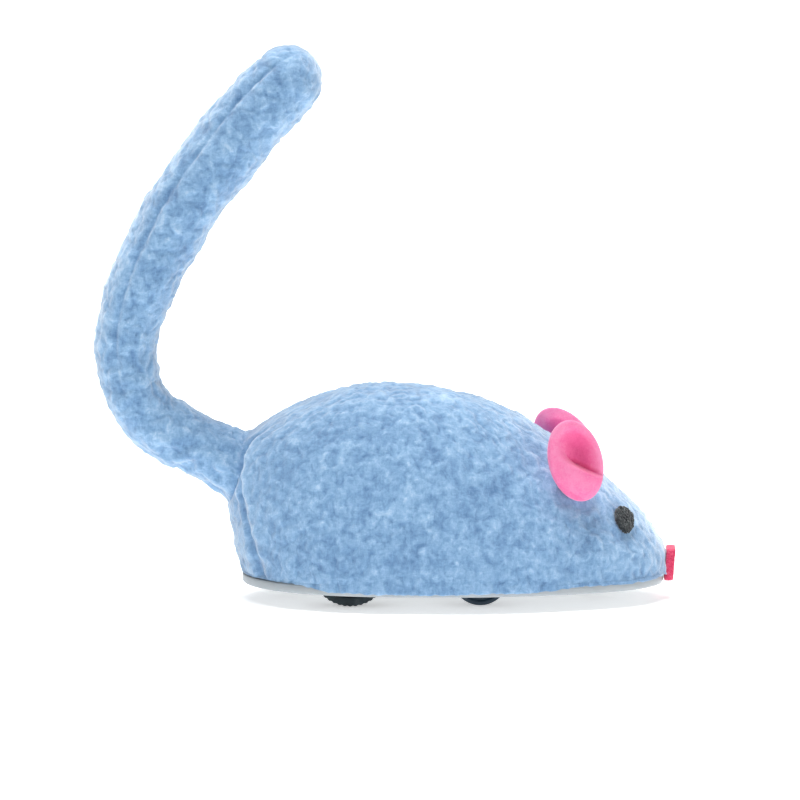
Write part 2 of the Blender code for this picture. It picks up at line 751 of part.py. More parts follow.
def gear(name, teeth, tooth_at, bore, y_span, parent, mat, lightening=0):
    outlines = [gear_outline(teeth, tooth_at), circle(bore, 20)]
    web = pitch_radius(teeth) * LIGHTENING_AT
    for i in range(lightening):
        angle = math.tau * i / lightening
        centre = (web * math.cos(angle), web * math.sin(angle))
        outlines.append(circle(pitch_radius(teeth) * LIGHTENING_RADIUS, 14, centre))
    return flat_across(name, outlines, y_span, parent, mat)


def rear_axle_group():
    """The driven axle with its pinion, hubs and tyres."""
    axis = empty("rear_axle_axis", REAR_AXLE, FRAME)
    shaft(
        "rear_axle",
        REAR_AXLE_RADIUS,
        (-REAR_AXLE_HALF_LENGTH, REAR_AXLE_HALF_LENGTH),
        axis,
        material("rear_axle_steel", STEEL, 0.3, 1.0),
    )
    half_gap = math.pi / AXLE_PINION_TEETH
    gear(
        "axle_pinion",
        AXLE_PINION_TEETH,
        AXLE_TO_SECOND_ANGLE + half_gap,
        REAR_AXLE_RADIUS + PRESS_GAP,
        AXLE_PINION_Y,
        axis,
        material("axle_pinion_brass", BRASS, 0.35, 1.0),
    )
    flat_to_corner = 1 / math.cos(math.pi / TYRE_SIDES)
    edge = TYRE_EDGE
    for side, sign in (("left", 1), ("right", -1)):
        inner, outer = REAR_WHEEL_INNER_Y, REAR_WHEEL_OUTER_Y
        high, low = (-inner, -outer) if sign > 0 else (outer, inner)
        tyre_radius = REAR_TYRE_RADIUS * flat_to_corner
        tyre_profile = [
            (REAR_TYRE_INNER, high),
            (tyre_radius - edge, high),
            (tyre_radius, high - edge),
            (tyre_radius, low + edge),
            (tyre_radius - edge, low),
            (REAR_TYRE_INNER, low),
        ]
        turned(
            f"rear_tyre_{side}",
            tyre_profile,
            axis,
            material(f"rear_tyre_rubber_{side}", RUBBER, 0.7),
            TYRE_SIDES,
            closed=True,
        )
        bore = REAR_AXLE_RADIUS + PRESS_GAP
        dish = HUB_DISH_DEPTH
        dish_outer = REAR_HUB_RADIUS - HUB_RIM_WIDTH
        boss = HUB_BOSS_RADIUS
        hub_profile = [
            (bore, high),
            (boss, high),
            (boss, high - dish),
            (dish_outer, high - dish),
            (dish_outer, high),
            (REAR_HUB_RADIUS, high),
            (REAR_HUB_RADIUS, low),
            (dish_outer, low),
            (dish_outer, low + dish),
            (boss, low + dish),
            (boss, low),
            (bore, low),
        ]
        turned(
            f"rear_hub_{side}",
            hub_profile,
            axis,
            material(f"rear_hub_plastic_{side}", DARK_PLASTIC, 0.4),
            HUB_SIDES,
            closed=True,
        )


def front_axle_group():
    """The free-running front axle with its two plain wheels."""
    axis = empty("front_axle_axis", FRONT_AXLE, FRAME)
    shaft(
        "front_axle",
        FRONT_AXLE_RADIUS,
        (-FRONT_AXLE_HALF_LENGTH, FRONT_AXLE_HALF_LENGTH),
        axis,
        material("front_axle_steel", STEEL, 0.3, 1.0),
    )
    edge = FRONT_WHEEL_EDGE
    bore = FRONT_AXLE_RADIUS + PRESS_GAP
    radius = FRONT_WHEEL_RADIUS / math.cos(math.pi / WHEEL_SIDES)
    for side, sign in (("left", 1), ("right", -1)):
        inner, outer = FRONT_WHEEL_INNER_Y, FRONT_WHEEL_OUTER_Y
        high, low = (-inner, -outer) if sign > 0 else (outer, inner)
        profile = [
            (bore, high),
            (radius - edge, high),
            (radius, high - edge),
            (radius, low + edge),
            (radius - edge, low),
            (bore, low),
        ]
        plastic = material(f"front_wheel_plastic_{side}", NAVY_PLASTIC, 0.4)
        turned(f"front_wheel_{side}", profile, axis, plastic, WHEEL_SIDES, closed=True)


def second_arbor_group():
    """The second wheel and its pinion, which steps the great wheel's turns up for the axle."""
    axis = empty("second_arbor_axis", SECOND_ARBOR, FRAME)
    shaft(
        "second_arbor",
        SECOND_ARBOR_RADIUS,
        (-SECOND_ARBOR_HALF_LENGTH, SECOND_ARBOR_HALF_LENGTH),
        axis,
        material("second_arbor_steel", STEEL, 0.3, 1.0),
    )
    bore = SECOND_ARBOR_RADIUS + PRESS_GAP
    toward_axle = AXLE_TO_SECOND_ANGLE + math.pi
    gear(
        "second_wheel",
        SECOND_TEETH,
        toward_axle,
        bore,
        SECOND_WHEEL_Y,
        axis,
        material("second_wheel_brass", BRASS, 0.35, 1.0),
        lightening=4,
    )
    half_gap = math.pi / SECOND_PINION_TEETH
    gear(
        "second_pinion",
        SECOND_PINION_TEETH,
        SECOND_TO_GREAT_ANGLE + half_gap,
        bore,
        SECOND_PINION_Y,
        axis,
        material("second_pinion_steel", STEEL, 0.35, 1.0),
    )


def great_wheel_group():
    """The great wheel, loose on the winding arbor, with the click that the ratchet drives it by."""
    axis = empty("great_wheel_axis", GREAT_ARBOR, FRAME)
    bore = WINDING_ARBOR_RADIUS + RUNNING_CLEARANCE
    toward_second = SECOND_TO_GREAT_ANGLE + math.pi
    brass = material("great_wheel_brass", BRASS, 0.35, 1.0)
    gear("great_wheel", GREAT_TEETH, toward_second, bore, GREAT_WHEEL_Y, axis, brass)
    leaf = CLICK_HALF_THICKNESS
    outward = [Vector(CLICK_FOOT), Vector(CLICK_BEND), Vector(CLICK_TIP)]
    across = [Vector((0, 1)), Vector((0.25, 1)).normalized(), Vector((0.75, 0.66)).normalized()]
    outline = [point + side * leaf for point, side in zip(outward, across)]
    outline += [point - side * leaf for point, side in reversed(list(zip(outward, across)))]
    steel = material("click_steel", STEEL, 0.3, 1.0)
    flat_across("click_spring", [[tuple(p) for p in outline]], RATCHET_Y, axis, steel)


def ratchet_outline():
    """Saw teeth whose steep faces push the click as the spring unwinds."""
    points = []
    for tooth in range(RATCHET_TEETH):
        angle = math.tau * tooth / RATCHET_TEETH
        tip = angle + RATCHET_LEAN
        points.append((RATCHET_ROOT * math.cos(angle), RATCHET_ROOT * math.sin(angle)))
        points.append((RATCHET_RADIUS * math.cos(tip), RATCHET_RADIUS * math.sin(tip)))
    return points


def winding_group():
    """The winding arbor with its ratchet wheel and the knob outside the cover."""
    axis = empty("winding_axis", GREAT_ARBOR, FRAME)
    steel = material("winding_arbor_steel", STEEL, 0.3, 1.0)
    shaft("winding_arbor", WINDING_ARBOR_RADIUS, WINDING_ARBOR_Y, axis, steel, sides=20)
    bore = WINDING_ARBOR_RADIUS + PRESS_GAP
    ratchet_steel = material("ratchet_steel", STEEL, 0.4, 1.0)
    flat_across("ratchet_wheel", [ratchet_outline(), circle(bore, 20)], RATCHET_Y, axis, ratchet_steel)
    plastic = material("knob_plastic", IVORY, 0.35)
    grips = []
    corners = KNOB_GRIPS * KNOB_GRIP_CORNERS
    for i in range(corners):
        in_groove = i % KNOB_GRIP_CORNERS >= KNOB_GRIP_CORNERS / 2
        radius = KNOB_RADIUS - (KNOB_GRIP_DEPTH if in_groove else 0)
        angle = math.tau * (i + 0.5) / corners
        grips.append((radius * math.cos(angle), radius * math.sin(angle)))
    curve = flat_across("knob_curve", [grips], KNOB_Y, None, plastic)
    mesh, world = mesh_of_curve(curve)
    knob = part("winding_knob", mesh, axis, plastic, world.translation, ACROSS)
    low, high = KNOB_NECK_Y, (KNOB_Y[0] + KNOB_Y[1]) / 2
    neck = cylinder_mesh("knob_neck", KNOB_NECK_RADIUS, high - low)
    boolean(knob, cutter("knob_neck", neck, (0, (low + high) / 2, 0), ACROSS, axis), "UNION")
    socket_end = WINDING_ARBOR_Y[1] + FIT_GAP
    socket_start = low - SOCKET_OVERCUT
    socket = cylinder_mesh("knob_socket", bore, socket_end - socket_start)
    place = (0, (socket_start + socket_end) / 2, 0)
    boolean(knob, cutter("knob_socket", socket, place, ACROSS, axis), "DIFFERENCE")


def mainspring():
    """A spiral strip: its inner end is by the arbor, and its outer end hooks round the front pillar."""
    post = PILLARS["motor_pillar_front"] - GREAT_ARBOR
    post_angle = math.atan2(post.z, post.x)
    post_distance = math.hypot(post.x, post.z)
    hook_radius = PILLAR_RADIUS + FIT_GAP + SPRING_STRIP / 2
    count = round(SPRING_TURNS * SPRING_STEPS_PER_TURN)
    middle_line = []
    for i in range(count + 1):
        share = i / count
        angle = post_angle - SPRING_END_BACK - math.tau * SPRING_TURNS * (1 - share)
        radius = SPRING_INNER + (SPRING_OUTER - SPRING_INNER) * share
        middle_line.append(Vector((radius * math.cos(angle), radius * math.sin(angle))))
    centre = Vector((post_distance * math.cos(post_angle), post_distance * math.sin(post_angle)))
    hook_start = post_angle + math.pi + HOOK_START
    for i in range(HOOK_STEPS):
        angle = hook_start - HOOK_STEP * i
        middle_line.append(centre + hook_radius * Vector((math.cos(angle), math.sin(angle))))
    outer, inner = [], []
    last = len(middle_line) - 1
    for i, point in enumerate(middle_line):
        along = (middle_line[min(i + 1, last)] - middle_line[max(i - 1, 0)]).normalized()
        side = Vector((along.y, -along.x)) * SPRING_STRIP / 2
        outer.append(tuple(point + side))
        inner.append(tuple(point - side))
    outline = outer + inner[::-1]
    steel = material("mainspring_steel", SPRING_BLUE, 0.3, 1.0)
    flat_across("mainspring", [outline], SPRING_Y, FRAME, steel, (GREAT_ARBOR.x, GREAT_ARBOR.z))


# ---------------------------------------------------------------- motor frame


def plate_outline():
    """The plate's edge: a band drawn tight round what it carries, with two tabs and a notch in its foot."""
    carried = [(p, PLATE_MARGIN) for p in (*PILLARS.values(), FRONT_AXLE)]
    carried.append((REAR_AXLE, PLATE_MARGIN_AT_AXLE))
    points = []
    for centre, radius in carried:
        points += [(x, max(z, PLATE_BOTTOM)) for x, z in circle(radius, 20, (centre.x, centre.z))]
    hull = [points[i] for i in geometry.convex_hull_2d([Vector(p) for p in points])]
    turned_area = sum(a[0] * b[1] - b[0] * a[1] for a, b in zip(hull, hull[1:] + hull[:1]))
    if turned_area < 0:
        hull.reverse()
    foot = [i for i, p in enumerate(hull) if p[1] < PLATE_BOTTOM + PLATE_TOUCHING]
    first = min(foot, key=lambda i: hull[i][0])
    hull = hull[first:] + hull[:first]
    sides = [p for p in hull if p[1] > PLATE_BOTTOM + PLATE_TOUCHING]
    foot_x = [p[0] for p in hull if p[1] < PLATE_BOTTOM + PLATE_TOUCHING]
    edge = [(min(foot_x), PLATE_BOTTOM)]
    for x in TAB_CENTRES_X:
        left, right = x - TAB_LENGTH / 2, x + TAB_LENGTH / 2
        edge += [(left, PLATE_BOTTOM), (left, TAB_BOTTOM), (right, TAB_BOTTOM), (right, PLATE_BOTTOM)]
    notch = FRONT_AXLE_RADIUS + RUNNING_CLEARANCE
    arch = [math.pi * (1 - i / 8) for i in range(9)]
    edge.append((FRONT_AXLE.x - notch, PLATE_BOTTOM))
    edge += [(FRONT_AXLE.x + notch * math.cos(a), FRONT_AXLE.z + notch * math.sin(a)) for a in arch]
    edge.append((FRONT_AXLE.x + notch, PLATE_BOTTOM))
    edge.append((max(foot_x), PLATE_BOTTOM))
    return edge + sides


def motor_frame():
    holes = [
        circle(REAR_AXLE_RADIUS + RUNNING_CLEARANCE, 20, (REAR_AXLE.x, REAR_AXLE.z)),
        circle(SECOND_ARBOR_RADIUS + RUNNING_CLEARANCE, 20, (SECOND_ARBOR.x, SECOND_ARBOR.z)),
        circle(WINDING_ARBOR_RADIUS + RUNNING_CLEARANCE, 20, (GREAT_ARBOR.x, GREAT_ARBOR.z)),
    ]
    holes += [circle(PILLAR_NECK + FIT_GAP, 16, (p.x, p.z)) for p in PILLARS.values()]
    for side, sign in (("left", 1), ("right", -1)):
        plate_steel = material(f"motor_plate_{side}_steel", STEEL, 0.4, 1.0)
        inner, outer = PLATE_INNER_Y, PLATE_INNER_Y + PLATE_THICKNESS
        span = (inner, outer) if sign > 0 else (-outer, -inner)
        flat_across(f"motor_plate_{side}", [plate_outline(), *holes], span, FRAME, plate_steel)
    shoulder = PLATE_INNER_Y - FIT_GAP
    neck_end = PLATE_INNER_Y + PLATE_THICKNESS + FIT_GAP
    head_end = neck_end + PILLAR_HEAD_THICKNESS
    for name, place in PILLARS.items():
        half = [
            (0, head_end),
            (PILLAR_HEAD, head_end),
            (PILLAR_HEAD, neck_end),
            (PILLAR_NECK, neck_end),
            (PILLAR_NECK, shoulder),
            (PILLAR_RADIUS, shoulder),
        ]
        profile = half + [(radius, -height) for radius, height in reversed(half)]
        turned(name, profile, FRAME, material(f"{name}_steel", STEEL, 0.35, 1.0), 16, place)


# ---------------------------------------------------------------- tail


def tail_centre(key):
    """A point of the tail's centre line, with key counting the route's points."""
    xs = [(i, x * MM) for i, (x, z) in enumerate(TAIL_ROUTE)]
    zs = [(i, z * MM) for i, (x, z) in enumerate(TAIL_ROUTE)]
    return Vector((smooth_between(xs, key), 0, smooth_between(zs, key)))


def tail_radius(share):
    bend = TAIL_BEND_SHARE
    if share < bend:
        return TAIL_RADIUS_ROOT + (TAIL_RADIUS_BEND - TAIL_RADIUS_ROOT) * share / bend
    return TAIL_RADIUS_BEND + (TAIL_RADIUS_TIP - TAIL_RADIUS_BEND) * (share - bend) / (1 - bend)


def tail_line(inset, start_at=0.0):
    """(centre, radius) down the tail, with a round end at its tip."""
    last = len(TAIL_ROUTE) - 1
    line = []
    for i in range(TAIL_SAMPLES + 1):
        share = start_at + (1 - start_at) * i / TAIL_SAMPLES
        line.append((tail_centre(share * last), tail_radius(share) - inset))
    end, radius = line[-1]
    along = (tail_centre(last) - tail_centre(last - 0.2)).normalized()
    for i in range(1, TAIL_TIP_RINGS + 1):
        angle = math.pi / 2 * i / (TAIL_TIP_RINGS + TAIL_TIP_OPEN)
        line.append((end + along * radius * math.sin(angle), radius * math.cos(angle)))
    return line


def tube(name, line, mat, resolution=2):
    """A round tube of changing radius along a line, with its ends closed."""
    curve = bpy.data.curves.new(name, "CURVE")
    curve.dimensions = "3D"
    curve.bevel_depth = 1.0
    curve.bevel_resolution = resolution
    curve.use_fill_caps = True
    spline = curve.splines.new("POLY")
    spline.points.add(len(line) - 1)
    for point, (centre, radius) in zip(spline.points, line):
        point.co = (*centre, 1)
        point.radius = radius
    return part(name, curve, None, mat)


def tail():
    axis = empty("tail_axis", TAIL_HINGE, FRAME)
    back = -TAIL_HINGE
    fleece = material("tail_fleece", FLEECE, 0.95)
    sleeve_mesh, _ = mesh_of_curve(tube("sleeve_curve", tail_line(0), fleece, 4))
    sleeve = part("tail_sleeve", sleeve_mesh, axis, fleece, back)
    cavity_line = tail_line(TAIL_WALL)
    cavity_line.insert(0, (cavity_line[0][0] + TAIL_RUN_OUT, cavity_line[0][1]))
    cavity, _ = mesh_of_curve(tube("cavity_curve", cavity_line, fleece, 3))
    boolean(sleeve, cutter("tail_cavity", cavity, back, parent=axis), "DIFFERENCE")

    filling = material("tail_filling", WADDING, 0.95)
    core_line = tail_line(TAIL_WALL + STUFFING_GAP, STUFFING_START)
    core_mesh, _ = mesh_of_curve(tube("core_curve", core_line, filling, 2))
    core = part("tail_stuffing", core_mesh, axis, filling, back)
    wire_line = [(centre, WIRE_RADIUS) for centre, _ in tail_line(0)[: TAIL_SAMPLES - 1]]
    channel_line = [(centre, WIRE_CHANNEL_RADIUS) for centre, _ in wire_line]
    channel_line.insert(0, (channel_line[0][0] + TAIL_RUN_OUT, WIRE_CHANNEL_RADIUS))
    channel_line.append((tail_centre(len(TAIL_ROUTE) - WIRE_END_BEFORE_TIP), WIRE_CHANNEL_RADIUS))
    channel, _ = mesh_of_curve(tube("channel_curve", channel_line, filling, 2))
    boolean(core, cutter("wire_channel", channel, back, parent=axis), "DIFFERENCE")

    steel = material("tail_wire_steel", STEEL, 0.4, 1.0)
    inner_end = Vector((WIRE_INNER_END_X, 0, TAIL_HINGE.z))
    wire_line.insert(0, (TAIL_HINGE, WIRE_RADIUS))
    wire_line.insert(0, (inner_end, WIRE_RADIUS))
    wire_mesh, _ = mesh_of_curve(tube("wire_curve", wire_line, steel, 1))
    part("tail_wire", wire_mesh, axis, steel, back)


# ---------------------------------------------------------------- the toy

FRAME = empty("mouse_frame", FRAME_SHIFT)
base_plate()
base_screws()
inner_shell()
fleece_cover()
ears()
eyes()
nose_felt()
motor_frame()
mainspring()
great_wheel_group()
winding_group()
second_arbor_group()
rear_axle_group()
front_axle_group()
tail()
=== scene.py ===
"""The clockwork mouse's looks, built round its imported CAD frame.

Lengths in the tables and constants are millimetres from the point on the floor under the middle of the
base plate, with the nose at +X and the winding knob at +Y. place() turns them into the frame's metres.
"""

import math

import bmesh
import bpy
import numpy as np
from mathutils import Matrix, Vector, noise


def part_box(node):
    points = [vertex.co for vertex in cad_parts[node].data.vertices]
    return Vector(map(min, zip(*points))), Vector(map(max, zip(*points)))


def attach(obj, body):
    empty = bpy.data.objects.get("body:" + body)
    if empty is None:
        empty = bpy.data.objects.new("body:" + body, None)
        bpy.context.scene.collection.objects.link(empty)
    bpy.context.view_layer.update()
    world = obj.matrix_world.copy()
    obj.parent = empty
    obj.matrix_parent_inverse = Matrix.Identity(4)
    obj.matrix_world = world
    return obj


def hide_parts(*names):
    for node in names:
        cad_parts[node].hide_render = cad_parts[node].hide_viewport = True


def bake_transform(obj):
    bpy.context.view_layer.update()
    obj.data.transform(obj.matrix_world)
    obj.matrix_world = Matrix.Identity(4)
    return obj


noise.seed_set(1)  # without it noise_vector starts from the clock, and no two runs agree
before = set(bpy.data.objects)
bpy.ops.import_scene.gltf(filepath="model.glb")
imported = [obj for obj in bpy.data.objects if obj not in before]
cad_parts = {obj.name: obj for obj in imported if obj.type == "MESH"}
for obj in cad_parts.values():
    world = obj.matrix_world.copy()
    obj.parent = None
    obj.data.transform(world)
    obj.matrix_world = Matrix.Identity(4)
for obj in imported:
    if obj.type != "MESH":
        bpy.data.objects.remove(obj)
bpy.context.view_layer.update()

MM = 0.001
SCENE = bpy.context.scene
base_low, base_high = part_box("base_plate")
BASE_REAR, BASE_FRONT, BASE_HALF_WIDTH = -38.2, 36.6, 19.2
ORIGIN = np.array((base_low.x - BASE_REAR * MM, (base_low.y + base_high.y) / 2, 0.0))


def place(points):
    """Millimetres in the mouse's own frame to metres in the model's frame."""
    return np.asarray(points, float) * MM + ORIGIN


def box_of(node):
    """The low and high corners of a CAD node, in the mouse's millimetres."""
    return [(np.array(corner) - ORIGIN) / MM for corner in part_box(node)]


def centre_of(node):
    """The middle of a CAD node, in the mouse's millimetres."""
    low, high = box_of(node)
    return (low + high) / 2


# ---- meshes


def solid(name, points, faces):
    """A smooth closed mesh object from points in the mouse's millimetres, with its faces turned outwards."""
    mesh = bpy.data.meshes.new(name)
    mesh.from_pydata(place(points).tolist(), [], [tuple(int(i) for i in face) for face in faces])
    mesh.update()
    mesh.shade_smooth()
    bm = bmesh.new()
    bm.from_mesh(mesh)
    bmesh.ops.recalc_face_normals(bm, faces=bm.faces)
    bm.to_mesh(mesh)
    bm.free()
    obj = bpy.data.objects.new(name, mesh)
    SCENE.collection.objects.link(obj)
    return obj


def band(low, high):
    """Faces between two closed rings of point numbers, where the upper may have half as many."""
    count, faces = len(low), []
    if len(high) == count:
        for i in range(count):
            j = (i + 1) % count
            faces.append((low[i], low[j], high[j], high[i]))
        return faces
    for i in range(0, count, 2):
        a, b, c = low[i], low[i + 1], low[(i + 2) % count]
        d, e = high[i // 2], high[(i // 2 + 1) % len(high)]
        faces += [(a, b, d), (b, c, e, d)]
    return faces


def fan(ring, tip):
    """Faces between a closed ring of point numbers and one point."""
    count = len(ring)
    return [(ring[i], ring[(i + 1) % count], tip) for i in range(count)]


def ring_grid(rows, columns):
    """Point numbers of a stack of equal rings, and the faces between them."""
    rings = [list(range(k * columns, (k + 1) * columns)) for k in range(rows)]
    return rings, [face for low, high in zip(rings, rings[1:]) for face in band(low, high)]


def store(obj, name, values):
    """Keeps a number for each point of a mesh, which its material can read."""
    layer = obj.data.attributes.new(name, "FLOAT", "POINT")
    layer.data.foreach_set("value", np.asarray(values, np.float32))


def apply_modifiers(obj):
    """Gives an object the mesh that its modifiers make."""
    bpy.context.view_layer.update()
    graph = bpy.context.evaluated_depsgraph_get()
    mesh = bpy.data.meshes.new_from_object(obj.evaluated_get(graph))
    obj.modifiers.clear()
    obj.data = mesh
    return obj


def smooth_step(low, high, value):
    """0 up to low, 1 from high, and a smooth rise between them."""
    t = np.clip((np.asarray(value, float) - low) / (high - low), 0, 1)
    return t * t * (3 - 2 * t)


def hump(distance, width):
    """1 where the distance is 0, falling away smoothly to either side."""
    return np.exp(-((distance / width) ** 2))


def curve_through(keys, values, at):
    """The cubic curve through the keys that the CAD's outlines use, read at an array of keys."""
    keys, values, at = (np.asarray(v, float) for v in (keys, values, at))
    last = len(keys) - 1
    before, after = np.maximum(np.arange(last + 1) - 1, 0), np.minimum(np.arange(last + 1) + 1, last)
    slopes = (values[after] - values[before]) / (keys[after] - keys[before])
    i = np.clip(np.searchsorted(keys, at, side="right") - 1, 0, last - 1)
    span = keys[i + 1] - keys[i]
    t = (at - keys[i]) / span
    return (
        (2 * t**3 - 3 * t**2 + 1) * values[i]
        + (t**3 - 2 * t**2 + t) * span * slopes[i]
        + (3 * t**2 - 2 * t**3) * values[i + 1]
        + (t**3 - t**2) * span * slopes[i + 1]
    )


# ---- fleece pile

CURL_SIZE, CURL_RISE, CURL_REACH = 2.1, 0.34, 0.85
NAP_SIZE, NAP_RISE = 0.85, 0.14
SWELL_SIZE, SWELL_RISE = 6.5, 0.26
WARP_SIZE, WARP = 2.3, 1.3
# Tone weights: the colour follows the pile's height, with a painted highlight on raised curls and nap and
# painted shade in the valleys between them.
CURL_TONE, NAP_TONE, SWELL_TONE, BASE_TONE = 0.42, 0.42, 0.25, 0.27
PILE_SEAT = 0.46


def pile_at(point):
    """(height in mm, 0 to 1 for how far up its curls) of the fleece at a point in mm."""
    p = Vector(point)
    warped = p + noise.noise_vector(p / WARP_SIZE) * WARP
    nearest = noise.voronoi(warped / CURL_SIZE)[0][0]
    curl = 1 - min(nearest / CURL_REACH, 1)
    curl = curl * curl * (3 - 2 * curl)
    nap = noise.noise(warped / NAP_SIZE) + 0.5 * noise.noise(p / (NAP_SIZE * 0.5))
    swell = noise.noise(p / SWELL_SIZE)
    height = CURL_RISE * curl + NAP_RISE * nap + SWELL_RISE * swell
    # painted highlight where the pile stands high, painted shade where it dips
    tone = CURL_TONE * curl + NAP_TONE * nap + SWELL_TONE * swell + BASE_TONE
    return height, min(max(tone, 0), 1)


def with_pile(points, normals, share):
    """Points moved out by a share of the pile's height, and each one's place in its curls."""
    heights, tones = np.empty(len(points)), np.empty(len(points))
    for i, point in enumerate(points):
        heights[i], tones[i] = pile_at(point)
    return points + normals * (heights * share)[:, None], tones


def grid_normals(grid, inside):
    """Unit normals of a grid of points that closes along its second axis, pointing away from inside."""
    up = np.gradient(grid, axis=0)
    wrapped = np.concatenate([grid[:, -1:], grid, grid[:, :1]], axis=1)
    along = wrapped[:, 2:] - wrapped[:, :-2]
    normals = np.cross(along, up)
    normals /= np.maximum(np.linalg.norm(normals, axis=2, keepdims=True), 1e-12)
    facing = ((grid - inside) * normals).sum(axis=2, keepdims=True)
    return np.where(facing < 0, -normals, normals)


# ---- the body's form

HEM, CROWN, CROWN_X, COVER_HALF_WIDTH = 4.9, 38.5, -12.0, 19.3
REAR_LINE = [
    (4.9, -38.2), (10, -39.7), (17, -41.0), (24, -40.9), (29, -38.7), (32.6, -32.9), (36.1, -25.3),
    (38.0, -18.8), (38.5, -12.0),
]
FRONT_LINE = [
    (4.9, 37.0), (9, 36.8), (12.2, 35.1), (15.6, 32.8), (20.1, 28.4), (26.0, 21.3), (31.5, 13.4),
    (35.0, 7.0), (37.4, -1.5), (38.5, -12.0),
]
NOSE_POWERS, RUMP_POWERS, SIDE_ROUNDING = (1.7, 2.5), (3.0, 2.0), 0.85


def rise_of(height):
    return np.arcsin(np.clip((np.asarray(height, float) - HEM) / (CROWN - HEM), 0, 1))

def level_outline(turn, middle, front, rear, half_width):
    """X and y at turns round a level outline, whose nose and rump have their own roundness."""
    along, across = np.cos(turn), np.sin(turn)
    ahead = along >= 0
    power_x = np.where(ahead, NOSE_POWERS[0], RUMP_POWERS[0])
    power_y = np.where(ahead, NOSE_POWERS[1], RUMP_POWERS[1])
    reach = np.where(ahead, front - middle, middle - rear)
    x = middle + np.sign(along) * np.abs(along) ** (2 / power_x) * reach
    return x, np.sign(across) * np.abs(across) ** (2 / power_y) * half_width


def body(rise, turn):
    """Points of the cover at a rise from hem to crown and a turn round it from the nose."""
    rise, turn = np.broadcast_arrays(np.asarray(rise, float), np.asarray(turn, float))
    (front_z, front_x), (rear_z, rear_x) = zip(*FRONT_LINE), zip(*REAR_LINE)
    front = curve_through(rise_of(front_z), front_x, rise)
    rear = curve_through(rise_of(rear_z), rear_x, rise)
    half_width = COVER_HALF_WIDTH * np.maximum(np.cos(rise), 0) ** SIDE_ROUNDING
    x, y = level_outline(turn, CROWN_X * np.sin(rise), front, rear, half_width)
    return np.stack([x, y, HEM + (CROWN - HEM) * np.sin(rise)], axis=-1)


def even_turns(rise, count):
    """Turns that are evenly spaced along the body's outline at a rise."""
    fine = np.linspace(0, math.tau, 20001)
    path = body(rise, fine)
    length = np.concatenate([[0], np.cumsum(np.linalg.norm(np.diff(path, axis=0), axis=1))])
    return np.interp(np.arange(count) / count * length[-1], length, fine)


def outline_normals(ring):
    """Level outward normals of a closed outline."""
    along = np.roll(ring, -1, axis=0) - np.roll(ring, 1, axis=0)
    normals = np.stack([along[:, 1], -along[:, 0], np.zeros(len(ring))], axis=1)
    return normals / np.linalg.norm(normals, axis=1, keepdims=True)


COVER_COLUMNS, COVER_ROWS = 512, 130
HALVE_AT = (96, 114, 124)
HEM_ROWS, LINING_ROWS = 9, 8
HEM_SPREAD, HEM_THICKNESS = 0.35, 0.12
SKIN_INSET, LINING_TONE = 1.9, 0.2
MIDDLE_HANG, FRONT_HANG, REAR_HANG = 1.45, 0.55, -0.1
RUMP_SEAM_WIDTH, RUMP_SEAM_DEPTH = 0.85, 0.58
SEAM_SWELL, GATHER, GATHER_SPACING = 0.24, 0.22, 3.4
PANEL_SINK, TUCK_DEPTH = 0.35, 0.4
KNOB_DIMPLE, KNOB_DIMPLE_SIZE = 0.9, 3.4


def hang(ring):
    """How far the hem hangs below the cover's own edge, in mm, at each point of its outline."""
    x, y = ring[:, 0], ring[:, 1]
    middle = smooth_step(-31, -20, x) * (1 - smooth_step(8, 25, x))
    ends = FRONT_HANG * smooth_step(0, 20, x) + REAR_HANG
    uneven = np.array([noise.noise(Vector((a * 0.13, b * 0.13, 3.7))) for a, b in zip(x, y)])
    ragged = np.array([noise.noise(Vector((a * 0.9, b * 0.9, 8.1))) for a, b in zip(x, y)])
    return ends * (1 - middle) + MIDDLE_HANG * middle + 0.30 * uneven + 0.24 * ragged


class Rings:
    """The points, tones and faces of a mesh that is built up ring by ring."""

    def __init__(self):
        self.points, self.tones, self.faces = [], [], []

    def add(self, ring, tones):
        first = len(self.points)
        self.points.extend(ring)
        self.tones.extend(tones)
        return list(range(first, first + len(ring)))


